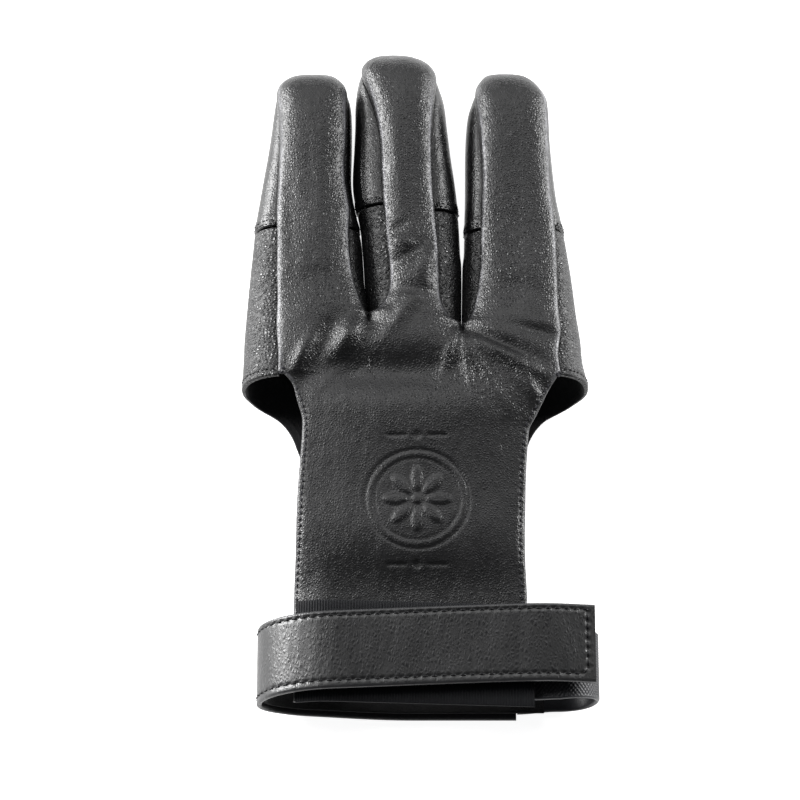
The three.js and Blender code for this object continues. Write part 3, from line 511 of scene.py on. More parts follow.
def boundaries(y):
    row = BOUNDARIES.at(BOUNDARIES.find((y - INDEX_CROTCH) / STALLS["middle"]["length"]))
    left = MIDDLE_CENTRE - row["left"] * STALLS["middle"]["width"]
    right = MIDDLE_CENTRE + row["right"] * STALLS["middle"]["width"]
    return {
        "outer_left": left - row["index"] * STALLS["index"]["width"],
        "left": left,
        "right": right,
        "outer_right": right + row["ring"] * STALLS["ring"]["width"],
    }


def stall_section(name, ys, gaps, insets, rises, crown, floor):
    left, right = SIDE_LINES[name]
    wall_left = boundaries(ys[0])[left] + STALL_CLEARANCE + gaps[0]
    wall_right = boundaries(ys[1])[right] - STALL_CLEARANCE - gaps[1]
    seams = [(wall_left + insets[0], ys[0], rises[0]), (wall_right - insets[1], ys[1], rises[1])]
    return {"walls": (wall_left, wall_right), "seams": np.array(seams), "crown": crown, "floor": floor}


def pair(row, kind, size):
    return row[f"{kind}_left"] * size, row[f"{kind}_right"] * size


def section(name, place):
    """One section across a stall, at a place of its table."""
    row = SECTIONS[name].at(place)
    width, height = STALLS[name]["width"], STALLS[name]["height"]
    tip = (RING_CROTCH if name == "ring" else INDEX_CROTCH) + STALLS[name]["length"]
    ys = [mix(tip, fork, row["along"]) for fork in FORKS[name]]
    across = [pair(row, "gap", width), pair(row, "inset", width), pair(row, "rise", height)]
    return stall_section(name, ys, *across, row["crown"] * height, row["floor"] * height)


def last_section(name):
    return section(name, SECTIONS[name].last)


def hand_section(name, share):
    """The same from the forks, share 0, down to the mouth of the glove, share 1."""
    last = last_section(name)
    seams, walls = last["seams"], last["walls"]
    outer = {"index": 0, "ring": 1}.get(name)
    insets = [seams[0][0] - walls[0], walls[1] - seams[1][0]]
    rises = [seams[0][2], seams[1][2]]
    if outer is not None:
        insets[outer] = mix(insets[outer], MOUTH_INSETS[name], smooth(share, 0, 1))
        rises[outer] = mix(rises[outer], MOUTH_EDGE_HEIGHT, share)
    ys = [mix(fork, 0, share) for fork in FORKS[name]]
    return stall_section(name, ys, (0, 0), insets, rises, mix(last["crown"], MOUTH_CROWN, share), 0)


# %% Lines across a section
# A line has many short steps and is cut again at the wanted distances afterwards.
LINE_STEPS = 20  # in each seventh of half an underside, and twice that across a back
ARCH = 2.5  # exponent of the rounded sections: 2 is an ellipse and more is squarer
REST_PRESS = 0.5
SEAM_DROP = 1.0
SEAM_TUCK = 0.9


def arc(angle, exponent=ARCH):
    return np.clip(np.cos(angle), 0, 1) ** (2 / exponent), np.clip(np.sin(angle), 0, 1) ** (2 / exponent)


def back_line(part):
    left, right = part["seams"]
    angle = np.linspace(0, math.pi, 16 * LINE_STEPS + 1)
    out, up = arc(np.minimum(angle, math.pi - angle))
    share = np.where(angle < math.pi / 2, (1 - out) / 2, (1 + out) / 2)
    line = left + (right - left) * share[:, None]
    line[:, 2] += (part["crown"] - line[:, 2]) * up
    return line


def underside_line(part, tuck=SEAM_TUCK, drop=SEAM_DROP):
    """From the left seam by way of the floor to the right seam: 3 sevenths of each half are wall."""
    centre = sum(part["walls"]) / 2
    halves = []
    for side, inward in ((0, 1), (1, -1)):
        wall, seam = part["walls"][side], part["seams"][side]
        top = seam[2] - drop
        bottom = min(part["floor"], top) - (REST_PRESS if part["floor"] <= 0 else 0)
        middle = (top + bottom) / 2
        edge = seam[0] + inward * tuck
        out, up = arc(np.linspace(math.pi / 2, 0, 3 * LINE_STEPS + 1)[:-1], 2)
        above = np.stack([edge + (wall - edge) * out, middle + (top - middle) * up], axis=1)
        out, down = arc(np.linspace(0, math.pi / 2, 4 * LINE_STEPS + 1))
        below = np.stack([centre + (wall - centre) * out, middle - (middle - bottom) * down], axis=1)
        halves.append(np.concatenate([above, below]))
    flat = np.concatenate([halves[0], halves[1][::-1][1:]])
    y = np.linspace(part["seams"][0][1], part["seams"][1][1], len(flat))
    return np.stack([flat[:, 0], y, np.maximum(flat[:, 1], 0)], axis=1)


def lengths(line):
    return np.concatenate([[0], np.cumsum(np.linalg.norm(np.diff(line, axis=0), axis=1))])


def cut(line, distances):
    """The points of a line at distances from its start."""
    run = lengths(line)
    return np.stack([np.interp(distances, run, line[:, k]) for k in range(3)], axis=1)


# %% Where a line is cut
# Columns crowd together beside a rolled edge, and lie even elsewhere.
NEAR = np.array([0, 0.1, 0.25, 0.45, 0.7, 1.0, 1.4, 1.9])


def stops(length, count, left=1.0, right=1.0):
    """count steps along a length; left and right say how far they crowd at either end."""
    even = np.linspace(0, length, count + 1)
    near = NEAR * min(1, length / 14)
    inner = np.linspace(near[-1], length - near[-1], count - 2 * len(NEAR) + 3)[1:-1]
    fine = np.concatenate([near, inner, length - near[::-1]])
    return even + (fine - even) * mix(left, right, even / length)


def row_of(line, count, left=1.0, right=1.0):
    return cut(line, stops(lengths(line)[-1], count, left, right))


# %% [markdown]
# A sheet becomes a hide
#
# Rows of points are joined into a grid. The grid's edge is found, and each point's distance from it lets the
# leather roll over: the outer face sinks towards the edge on a quarter circle and the inner face rises to
# meet it. Solidify and Bevel would do the same on a flat sheet, but at the forks, where two stalls meet in a
# point, the bevels would cross.

# %% Grids, borders and distances
class Sheet:
    def __init__(self):
        self.points = []
        self.quads = []
        self.count = 0

    def grid(self, rows):
        rows = np.array(rows)
        r, c = rows.shape[:2]
        ids = np.arange(r * c).reshape(r, c) + self.count
        self.points.append(rows.reshape(-1, 3))
        corners = [ids[:-1, :-1], ids[1:, :-1], ids[1:, 1:], ids[:-1, 1:]]
        self.quads.append(np.stack(corners, axis=-1).reshape(-1, 4))
        self.count += r * c
        return self

    def welded(self):
        """The points, each only once, and the quads between them."""
        points = np.concatenate(self.points)
        quads = np.concatenate(self.quads)
        _, first, where = np.unique(np.round(points, 3), axis=0, return_index=True, return_inverse=True)
        return points[first], where.reshape(-1)[quads]


def unit(vectors):
    return vectors / np.maximum(np.linalg.norm(vectors, axis=1), 1e-9)[:, None]


def at_corners(values, quads, count):
    """The direction at each point from the values of the quads that meet there."""
    total = np.zeros((count, 3))
    for k in range(4):
        np.add.at(total, quads[:, k], values)
    return unit(total)


def vertex_normals(points, quads):
    a, b, c, d = (points[quads[:, k]] for k in range(4))
    return at_corners(np.cross(c - a, d - b), quads, len(points))


def evened(normals, quads, passes):
    """The directions, each drawn towards those of its neighbours."""
    for _ in range(passes):
        normals = at_corners(normals[quads].sum(axis=1), quads, len(normals))
    return normals


def nearest_in(points):
    """A search tree for the nearest of many points."""
    tree = KDTree(len(points))
    for i, p in enumerate(points):
        tree.insert(p, i)
    tree.balance()
    return tree


def border_loop(quads):
    """The ids of the points round the edge of a sheet, in order."""
    edges = {(int(q[k]), int(q[(k + 1) % 4])) for q in quads for k in range(4)}
    after = {a: b for a, b in edges if (b, a) not in edges and a != b}
    start = next(iter(after))
    loop = [start]
    while after[loop[-1]] != start:
        loop.append(after[loop[-1]])
    return loop


LINE_SAMPLES = 0.12


def distance_to(points, line, closed=False):
    """How far each point lies from a line, and how far along the line the nearest place is."""
    if closed:
        line = np.concatenate([line, line[:1]])
    run = lengths(line)
    fine = np.arange(0, run[-1], LINE_SAMPLES)
    tree = nearest_in(cut(line, fine))
    found = [tree.find(p) for p in points]
    return np.array([f[2] for f in found]), fine[[f[1] for f in found]]


def drop_at(distance, radius, depth):
    """How far a face has sunk at a distance from an edge that it rolls over."""
    out = np.clip(1 - distance / radius, 0, 1)
    return depth * (1 - np.sqrt(1 - out**2))


# %% From a sheet to a piece
def make_mesh(name, points, faces, materials, inside=()):
    """A piece from points in mm, with smooth faces; the faces in inside take the second material."""
    mesh = bpy.data.meshes.new(name)
    mesh.from_pydata([tuple(p) for p in points * MM], [], [tuple(int(i) for i in f) for f in faces])
    for material in materials:
        mesh.materials.append(material)
    if len(inside):
        slots = np.zeros(len(faces), np.int32)
        slots[inside] = 1
        mesh.polygons.foreach_set("material_index", slots)
    mesh.polygons.foreach_set("use_smooth", np.ones(len(mesh.polygons), bool))
    mesh.validate()
    piece = bpy.data.objects.new(name, mesh)
    bpy.context.scene.collection.objects.link(piece)
    return piece


def outward_and_smooth(piece, angle=50):
    bpy.ops.object.select_all(action="DESELECT")
    piece.select_set(True)
    bpy.context.view_layer.objects.active = piece
    bpy.ops.object.mode_set(mode="EDIT")
    bpy.ops.mesh.select_all(action="SELECT")
    bpy.ops.mesh.normals_make_consistent(inside=False)
    bpy.ops.object.mode_set(mode="OBJECT")
    bpy.ops.object.shade_smooth_by_angle(angle=math.radians(angle))


def settle(piece, node):
    """Makes a finished piece ride on the glove and stand for its solid."""
    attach(piece, "root")
    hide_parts(node)
    low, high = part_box(node)
    triangles = sum(len(p.vertices) - 2 for p in piece.data.polygons)
    own, solid = ([round(d / MM, 1) for d in size] for size in (piece.dimensions, high - low))
    print(piece.name, own, "stands for", node, solid, "and has", triangles, "triangles")


RIM_PASSES = 10
OUTER_SHARE = 0.75  # of the thickness is on the outer side of the edge
INNER_ROLL = 0.4


def hide(sheet, thickness, roll=1.0, level=None, shape=None, passes=0):
    """The two faces of a sheet of leather. roll is the radius of its outer edge; level says where the edge is
    cut level, shape moves the points of the outer face, and passes even out sharp turns."""
    points, quads = sheet.welded()
    normals = evened(vertex_normals(points, quads), quads, passes)
    loop = border_loop(quads)
    if level is not None:
        normals[loop, 2] *= 1 - level(points[loop])
    # Along the edge the direction may only turn gradually, or a corner would stick out as a spike.
    rim = unit(normals[loop])
    for _ in range(RIM_PASSES):
        rim = (np.roll(rim, 1, axis=0) + 2 * rim + np.roll(rim, -1, axis=0)) / 4
    normals[loop] = unit(rim)
    distance, _ = distance_to(points, points[loop], closed=True)
    distance[loop] = 0
    if shape is not None:
        points = points + normals * shape(points, distance)[:, None]
    deep = OUTER_SHARE * thickness
    outer = points - normals * drop_at(distance, roll, deep)[:, None]
    inner = points - normals * (thickness - drop_at(distance, INNER_ROLL, thickness - deep))[:, None]
    # The two faces share the points of the edge.
    twin = np.arange(len(points)) + len(points)
    twin[loop] = loop
    faces = np.concatenate([quads, twin[quads[:, ::-1]]])
    return {
        "points": np.concatenate([outer, inner]),
        "faces": faces,
        "inside": np.arange(len(quads), len(faces)),
        "outer": outer,
        "quads": quads,
        "loop": outer[loop],
    }


# %% [markdown]
# Seams and stitches
#
# A seam line keeps its distance from the edge of the leather, so each line is found by walking inwards from
# the edge over the surface. One stitch is modelled as a short thread whose ends dip into the hide, and is
# then copied along the lines into one mesh. The leather sinks a little under the thread, most where it dives
# in. A curve with a bevel would lie on the hide like a wire, with nothing holding it down.

# %% Lines on a hide
SEAM_STEP = 0.5
WALK = 4  # steps from the edge to the seam
SEAM_EASE = 6  # passes that take out the small steps which the nearest faces leave
NEIGHBOURS = 12  # faces whose middle says which way is inwards
PULL = {"mean": 0.55, "wave": 0.45}


def tree_of(points, faces):
    return BVHTree.FromPolygons([tuple(p) for p in points], [tuple(int(i) for i in f) for f in faces])


def face_of(made):
    return tree_of(made["outer"], made["quads"])


def inset_line(made, keep, inset):
    """A line on the outer face at a distance from the stretch of the edge whose points keep accepts."""
    loop = made["loop"]
    kept = keep(loop)
    start = int(np.argmax(kept & ~np.roll(kept, 1)))
    run = np.roll(loop, -start, axis=0)[: int(np.argmin(np.roll(kept, -start)))]
    run = cut(run, np.arange(0, lengths(run)[-1], SEAM_STEP))
    surface = face_of(made)
    near = nearest_in(made["outer"][made["quads"]].mean(axis=1))
    line = []
    for p, t in zip(run, np.gradient(run, axis=0)):
        inner = np.mean([found[0] for found in near.find_n(Vector(p), NEIGHBOURS)], axis=0)
        inward = inner - p - t * np.dot(inner - p, t) / np.dot(t, t)
        place, direction = Vector(p), Vector(inward).normalized()
        for _ in range(WALK):
            place, normal, _, _ = surface.find_nearest(place + direction * inset / WALK)
            direction = (direction - normal * direction.dot(normal)).normalized()
        line.append(tuple(place))
    line = np.array(line)
    for _ in range(SEAM_EASE):
        line[1:-1] = (line[:-2] + 2 * line[1:-1] + line[2:]) / 4
    return line


def groove(points, line, spacing, depth, width=0.55):
    """How deep the leather is drawn in beside a seam: most where the thread dives in."""
    distance, along = distance_to(points, line)
    pull = PULL["mean"] + PULL["wave"] * np.cos(2 * math.pi * along / spacing)
    return depth * pull * ridge(distance, width)


# %% One stitch
STITCH_SIDES = 6
STITCH_RINGS = (-0.32, 0, 0.32)


def model_stitch():
    """A short thread along X, of length and width 1, with five rings of points."""
    bpy.ops.object.select_all(action="DESELECT")
    bpy.ops.mesh.primitive_cylinder_add(
        vertices=STITCH_SIDES, radius=0.5, depth=1, rotation=(0, math.pi / 2, 0)
    )
    bpy.ops.object.transform_apply(rotation=True)
    bpy.ops.object.mode_set(mode="EDIT")
    for x in STITCH_RINGS:
        bpy.ops.mesh.select_all(action="SELECT")
        bpy.ops.mesh.bisect(plane_co=(x, 0, 0), plane_no=(1, 0, 0))
    bpy.ops.object.mode_set(mode="OBJECT")
    piece = bpy.context.object
    points = np.array([v.co for v in piece.data.vertices])
    faces = [tuple(p.vertices) for p in piece.data.polygons]
    bpy.data.objects.remove(piece)
    return points, faces


STITCH_POINTS, STITCH_FACES = model_stitch()
print("one stitch has", len(STITCH_FACES), "faces")

THREAD_TAPER = 0.55  # how thin a stitch is where it dives in
REACH = 0.3  # half the length over which a stitch takes its direction


def sew(name, surface, lines, spacing, length, width, lift=0.16, sink=0.55, slant=0.0, yarn=thread):
    """Copies the stitch along lines on a surface. lift and sink are the height of its middle and the depth of
    its ends, and slant turns each stitch out of the line, in degrees."""
    ends = np.abs(STITCH_POINTS[:, 0]) * 2
    height = mix(lift, -sink, ends**4)
    thick = width * mix(1.0, THREAD_TAPER, ends**4)
    cosine, sine = math.cos(math.radians(slant)), math.sin(math.radians(slant))
    points, faces = [], []
    for line in lines:
        run = lengths(line)
        for s in np.arange(0.5 * spacing, run[-1], spacing):
            a, b = cut(line, [max(s - REACH, 0), min(s + REACH, run[-1])])
            place, normal, _, _ = surface.find_nearest(Vector((a + b) / 2))
            straight = Vector(b - a)
            straight = (straight - normal * straight.dot(normal)).normalized()
            beside = normal.cross(straight)
            along = straight * cosine + beside * sine
            across = beside * cosine - straight * sine
            first = len(STITCH_POINTS) * len(points)
            faces += [tuple(i + first for i in face) for face in STITCH_FACES]
            points.append(
                np.array(place)
                + STITCH_POINTS[:, :1] * length * np.array(along)
                + (STITCH_POINTS[:, 1] * thick)[:, None] * np.array(across)
                + (STITCH_POINTS[:, 2] * thick + height)[:, None] * np.array(normal)
            )
    piece = make_mesh(name, np.concatenate(points), faces, [yarn])
    outward_and_smooth(piece)
    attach(piece, "root")
    print(name, len(points), "stitches")


# %% Putting a hide on the glove
def dress(name, made, outside, slot, node, **marks):
    """marks are values for each point of the outer face, which its material reads by name."""
    used = np.unique(made["faces"])
    places = np.zeros(len(made["points"]), int)
    places[used] = np.arange(len(used))
    sides = [outside, flesh_side]
    piece = make_mesh(name, made["points"][used], places[made["faces"]], sides, made["inside"])
    for mark, values in marks.items():
        both = np.concatenate([values, np.zeros(len(made["points"]) - len(values))])
        layer = piece.data.attributes.new(mark, "FLOAT", "POINT")
        layer.data.foreach_set("value", both[used].astype(np.float32))
    settle(piece, node)


# %% [markdown]
# The back of the glove
#
# Three arched stalls run together at the forks into one arch over the hand, which flattens into the tongue.
# The folds are long soft bumps laid over the sheet: a ridge that runs from the index fork to the corner of
# the mouth, a hollow beside it, creases across the root of the middle finger, and a curved fold below the
# ring fork. A cloth simulation would move the seams away from where the frame has them.

# %% Folds
# x, y: middle; long, wide: half length and half width; height; turn in degrees
FOLD = "x y long wide height turn"
FOLDS = [
    # the corner of the mouth on the index side: a ridge, a hollow and a lower ridge
    (-31.5, 5.5, 7, 2.3, 1.7, 62),
    (-26, 10, 9, 3.2, -1.6, 58),
    (-18.5, 11, 7, 2.5, 1.3, 62),
    (-24, -2, 7, 2.4, 0.6, 40),
    # the hand sinks between the forks and the tongue
    (-3, 0, 28, 7, -3.2, 0),
    (-22, 1, 11, 6, -1.3, 20),
    # creases across the root of the middle finger
    (-4.5, 45.5, 4.4, 1.8, -0.6, 38),
    (-3.5, 41.6, 5, 1.5, 0.5, -24),
    (-1.5, 37, 8, 2.4, -1, 30),
    (4.8, 36, 8, 3, 1, 64),
    (0, 26, 9, 2.2, -0.7, -8),
    (-3, 18, 8, 2, 0.8, 55),
    # below the ring fork
    (25, 9.5, 11, 2.2, -1.3, -26),
    (28, 4.5, 11, 2, 1.2, -30),
    (16, 3, 9, 1.4, 0.8, 100),
    (20, 2, 9, 1.2, 0.7, 118),
    (11, 6, 8, 1.3, 0.7, 76),
    (36, 13, 8, 2, -0.8, -14),
    (35, -6, 8, 1.9, 0.8, 118),
    # shallow waves along the stalls
    (-27, 60, 22, 3, 0.5, 88),
    (-36, 48, 24, 2.6, -0.45, 92),
    (-4, 68, 16, 2.6, 0.45, 92),
    (22, 62, 20, 2.8, 0.5, 92),
    (31, 46, 24, 3, -0.45, 88),
    # dents across the stalls
    (-28, 30, 9, 3.2, -0.5, 12),
    (30, 27, 9, 3.2, -0.5, -10),
    # the swell of the tongue
    (0, -50, 30, 12, 1.3, 0),
]


def fold_height(points, folds):
    height = np.zeros(len(points))
    for fold in folds:
        f = dict(zip(FOLD.split(), fold))
        angle = math.radians(f["turn"])
        dx, dy = points[:, 0] - f["x"], points[:, 1] - f["y"]
        along = dx * math.cos(angle) + dy * math.sin(angle)
        across = dy * math.cos(angle) - dx * math.sin(angle)
        height += f["height"] * ridge(along, f["long"]) * ridge(across, f["wide"])
    return height


# %% Rows of the back
STALL_COLUMNS = 46
STALL_SPACING = 0.7


def fork_point(name):
    seam = last_section(name)["seams"][0]
    return np.array([seam[0] - STALL_CLEARANCE, seam[1], CROTCH_HEIGHT])


FORK_POINTS = {name: fork_point(name) for name in ("middle", "ring")}


def join_forks(rows, drop=0.0):
    """Moves the seam ends of the last rows of the stalls onto the forks that they share."""
    middle, ring = (FORK_POINTS[name] - (0, 0, drop) for name in ("middle", "ring"))
    rows["index"][-1] = middle
    rows["middle"][0] = middle
    rows["middle"][-1] = ring
    rows["ring"][0] = ring
    return rows


def chained(rows):
    return np.concatenate([rows[name] if i == 0 else rows[name][1:] for i, name in enumerate(NAMES)])


def stall_places(name, start, end, spacing, near_start=True, near_end=False):
    """Places of a stall's table, evenly spaced along its crown and crowded at rolled ends."""
    fine = np.linspace(start, end, 300)
    parts = [section(name, place) for place in fine]
    crown = np.array([(0, part["seams"][:, 1].mean(), part["crown"]) for part in parts])
    run = lengths(crown)
    count = max(int(run[-1] / spacing), 2 * len(NEAR))
    return np.interp(stops(run[-1], count, float(near_start), float(near_end)), run, fine)


def stalls_sheet(line_of, columns, spacing, starts, drop=0.0, order=1):
    """A sheet with a grid for each stall, from its place in starts to the forks, and the row of points at
    the forks. order is -1 where the rows are turned round, so that the sheet faces down."""
    sheet = Sheet()
    forks = join_forks({n: row_of(line_of(last_section(n)), columns) for n in NAMES}, drop)
    for name in NAMES:
        places = stall_places(name, starts[name], SECTIONS[name].last, spacing)[:-1]
        rows = [row_of(line_of(section(name, place)), columns) for place in places]
        sheet.grid([row[::order] for row in rows + [forks[name]]])
    return sheet, chained(forks)


def row_ends(share):
    """How far columns crowd at either end of each stall's row: less and less where stalls run together."""
    fine = 1 - smooth(share, 0, 0.5)
    return {"index": (1, fine), "middle": (fine, fine), "ring": (fine, 1)}


def arch_height(across, edge):
    out = np.clip(np.abs(2 * across - 1), 0, 1)
    return (1 - out**ARCH) ** mix(1, 1 / ARCH, edge)


def hand_back_row(share):
    ends = row_ends(share)
    row = chained({n: row_of(back_line(hand_section(n, share)), STALL_COLUMNS, *ends[n]) for n in NAMES})
    start, end = row[0], row[-1]
    crown = mix(last_section("middle")["crown"], MOUTH_CROWN, share)
    across = (row[:, 0] - start[0]) / (end[0] - start[0])
    base = mix(start[2], end[2], across)
    single = base + (crown - base) * arch_height(across, 1)
    row[:, 2] = mix(row[:, 2], single, smooth(share, 0, 0.6))
    return row


FORK_BLUR = 2.4
FORK_BLEND = 4.5
BLUR_REACH = 8
BLUR_STEP = 0.25
CLEAR_EDGE = (4, 10)  # from the edges of the hand, over which the blur sets in


def softened(row, forks):
    """Rounds the valleys that run down from the forks, more and more away from them."""
    x = np.arange(row[0, 0] - BLUR_REACH, row[-1, 0] + BLUR_REACH, BLUR_STEP)
    kernel = ridge(np.arange(-BLUR_REACH, BLUR_REACH + BLUR_STEP, BLUR_STEP), FORK_BLUR)
    height = np.interp(x, row[:, 0], row[:, 2])
    soft = np.convolve(height, kernel / kernel.sum(), mode="same")
    weight = smooth(forks[:, 1] - row[:, 1], 0, FORK_BLEND)
    weight *= smooth(row[:, 0] - row[0, 0], *CLEAR_EDGE) * smooth(row[-1, 0] - row[:, 0], *CLEAR_EDGE)
    row[:, 2] = mix(row[:, 2], np.interp(row[:, 0], x, soft), weight)
    return row


# %% The strap's layers press the tongue down
TAPE_GAP = 0.4
LAYERS = STRAP_LEATHER + SEAM_GAP + TAPE + SEAM_GAP
BEND_MIDDLE = 9
BEND_START = -22
RISE_START = -29
STRAP_WIDTH = 23
STRAP_SETBACK = 15.4
STRAP_Y = STRAP_SETBACK - TONGUE_LENGTH
STRAP_LEFT = 44.6
STRAP_END = 52
STRAP_END_DROOP = 2.6
DROOP = {"from": 0.4, "full": 0.68}


def crest(depth):
    return TONGUE_HEIGHT + TAPE_GAP + TAPE + LAYERS - depth


def crest_height(x, depth):
    out = np.clip((BEND_START - x) / (BEND_START + STRAP_LEFT - depth), 0, 1)
    return BEND_MIDDLE + (crest(depth) - BEND_MIDDLE) * np.sqrt(1 - out**2)


def tongue_droop(x):
    return crest(LAYERS) - crest_height(x, LAYERS)


# %% The tongue
TONGUE_SPACING = 0.52
mouth_row = hand_back_row(1.0)
MOUTH_COLUMNS = (mouth_row[:, 0] - mouth_row[0, 0]) / (mouth_row[-1, 0] - mouth_row[0, 0])


def tongue_row(place):
    row = TONGUE.at(place)
    left, right = row["left"] * TONGUE_WIDTH, row["right"] * TONGUE_WIDTH
    width = right - left
    even = stops(width, len(MOUTH_COLUMNS) - 1) / width
    across = mix(MOUTH_COLUMNS, even, smooth(row["down"], 0, 0.15))
    rise = mix(MOUTH_EDGE_HEIGHT, TONGUE_HEIGHT, np.clip(row["rise"], 0, 1))
    swell = (MOUTH_CROWN - MOUTH_EDGE_HEIGHT) * np.clip(row["swell"], 0, 1)
    x = mix(left, right, across)
    slant = TONGUE_END_TILT * (across - 0.5) * smooth(row["down"], DROOP["from"], 1)
    droop = tongue_droop(x) * smooth(row["down"], DROOP["from"], DROOP["full"])
    z = rise + swell * arch_height(across, np.clip(row["edge"], 0, 1)) - droop
    return np.stack([x, -row["down"] * TONGUE_LENGTH - slant, z], axis=1)


HAND_ROWS = 34
MOUTH_EASE = 160  # passes that even out the height where the hand's arch turns into the tongue
EASE = {"from": -22, "to": 13, "fade": 8}


def eased(rows):
    rows = np.array(rows)
    y = rows[1:-1, :, 1]
    weight = smooth(y, EASE["from"], EASE["from"] + EASE["fade"]) * within(y, EASE["to"], EASE["fade"])
    for _ in range(MOUTH_EASE):
        even = (rows[:-2, :, 2] + 2 * rows[1:-1, :, 2] + rows[2:, :, 2]) / 4
        rows[1:-1, :, 2] = mix(rows[1:-1, :, 2], even, weight)
    return rows


def back_sheet():
    sheet, forks = stalls_sheet(back_line, STALL_COLUMNS, STALL_SPACING, dict.fromkeys(NAMES, 0))
    hand = [softened(hand_back_row(share), forks) for share in np.linspace(0, 1, HAND_ROWS)[1:]]
    downs = stops(TONGUE_LENGTH, int(TONGUE_LENGTH / TONGUE_SPACING), 0, 1)[1:] / TONGUE_LENGTH
    tongue = [tongue_row(TONGUE.find(down)) for down in downs]
    return sheet.grid(eased([forks] + hand + tongue))


def clear_of_forks(points, radius):
    shares = [smooth(np.linalg.norm(points - p, axis=1), 0, radius) for p in FORK_POINTS.values()]
    return np.min(shares, axis=0)


def back_level(points):
    return smooth(points[:, 1], -6, 0) * clear_of_forks(points, 1)


# %% The pressed ornament
# The tongue is pressed with a plain rosette in two rings, a common ornament of leather work.
STAMP = {"x": 1.4, "y": -40, "outer": 15, "inner": 12.4, "line": 0.45, "depth": 0.32, "ground": 0.16}
PETALS = 8
PETAL = {"at": 6.3, "long": 4.4, "wide": 1.9, "height": 0.42}
HEART = {"radius": 1.7, "slope": 0.7, "height": 0.4}
BAR = {"from": 2.6, "to": 9, "away": 19.5, "fade": 0.6}
DIAMOND = {"radius": 1.9, "slope": 0.8}


def stamp_height(x, y):
    dx, dy = x - STAMP["x"], y - STAMP["y"]
    radius = np.hypot(dx, dy)
    pressed_in = sum(ridge(radius - STAMP[ring], STAMP["line"]) for ring in ("outer", "inner"))
    for side in (-1, 1):
        away = np.abs(dy - side * BAR["away"])
        start = smooth(np.abs(dx), BAR["from"], BAR["from"] + BAR["fade"])
        on_bar = start * within(np.abs(dx), BAR["to"], BAR["fade"])
        pressed_in = pressed_in + ridge(away, STAMP["line"]) * on_bar
        pressed_in = pressed_in + within(np.abs(dx) + away, **DIAMOND)
    height = HEART["height"] * within(radius, HEART["radius"], HEART["slope"])
    height -= STAMP["depth"] * pressed_in + STAMP["ground"] * within(radius, STAMP["inner"], 1)
    for k in range(PETALS):
        angle = 2 * math.pi * k / PETALS
        along = dx * math.cos(angle) + dy * math.sin(angle) - PETAL["at"]
        across = dy * math.cos(angle) - dx * math.sin(angle)
        inside = 1 - np.hypot(along / PETAL["long"], across / PETAL["wide"])
        height += PETAL["height"] * smooth(inside, 0, 0.45)
    return height


# %% The hide of the back
BACK_ROLL = 1.6
EDGE_STITCH = {"spacing": 1.95, "length": 1.5, "width": 0.42}
EDGE_SEAM = {"inset": 1.8, "depth": 0.22, "beyond": 20, "top": -4, "end": -72}
FORK_CLEARANCE = 6  # how far from a fork the folds begin
back_cut = back_sheet()
flat_back = hide(back_cut, BACK_LEATHER, BACK_ROLL, back_level)
back_lines = {}
for side, sign in (("left", -1), ("right", 1)):

    def on_edge(p):
        beside = p[:, 0] * sign > EDGE_SEAM["beyond"]
        return beside & (p[:, 1] < EDGE_SEAM["top"]) & (p[:, 1] > EDGE_SEAM["end"])

    back_lines[side] = inset_line(flat_back, on_edge, EDGE_SEAM["inset"])
    print("stitch line on the", side, "edge of the tongue:", round(lengths(back_lines[side])[-1], 1), "mm")


def back_relief(points, distance):
    folds = fold_height(points, FOLDS) * clear_of_forks(points, FORK_CLEARANCE) * smooth(distance, 0, 3)
    height = folds + stamp_height(points[:, 0], points[:, 1])
    for line in back_lines.values():
        height -= groove(points, line, EDGE_STITCH["spacing"], EDGE_SEAM["depth"])
    return height


back = hide(back_cut, BACK_LEATHER, BACK_ROLL, back_level, back_relief)


# How pale the rolled edges are painted: partly worn polish, partly a painted highlight.
WEAR_AND_HIGHLIGHT = {"tongue": 0.1, "stalls": 0.9, "width": 0.55, "beyond": 0.05, "clear": 16, "patch": 4.5}


def wear_and_highlight_of(made):
    """A painted highlight on the rolled edges, partly the polish of worn leather: palest on the rolled seams
    of the stalls, a little on the tongue's edges, not round the fingertips. The width is measured as seen from
    above, since the leather turns down steeply there."""
    y = made["outer"][:, 1]
    flat = (1, 1, 0)
    beside, _ = distance_to(made["outer"] * flat, made["loop"] * flat, closed=True)
    stalls = smooth(y, -4, 2) * smooth(-y, -98, -90)
    uneven = np.array([0.7 + 0.8 * noise.noise(Vector(p) / WEAR_AND_HIGHLIGHT["patch"]) for p in made["outer"]])
    shown = mix(WEAR_AND_HIGHLIGHT["tongue"], WEAR_AND_HIGHLIGHT["stalls"], stalls) * clear_of_forks(made["outer"], WEAR_AND_HIGHLIGHT["clear"])
    return np.clip(smooth(-beside, -WEAR_AND_HIGHLIGHT["width"], WEAR_AND_HIGHLIGHT["beyond"]) * uneven * shown, 0, 1)


# Where the hide is crinkled, in the columns of the folds, with a strength for a height
SLACK_PLACES = [
    (0, 40, 12, 9, 0.8, 0),
    (-16, 10, 9, 9, 0.8, 0),
    (14, 8, 9, 12, 1, 0),
    (30, 0, 14, 12, 0.6, 0),
    (-30, 6, 10, 10, 0.4, 0),
    (0, -8, 30, 10, 0.3, 0),
    (0, -72, 34, 10, 0.3, 0),
    (30, 30, 9, 10, 0.4, 0),
    (-28, 26, 9, 10, 0.5, 0),
    (27, 46, 8, 18, 0.5, 0),
]


def slack_of(points):
    return np.clip(0.12 + 0.4 * smooth(points[:, 1], 15, 35) + fold_height(points, SLACK_PLACES), 0, 1)


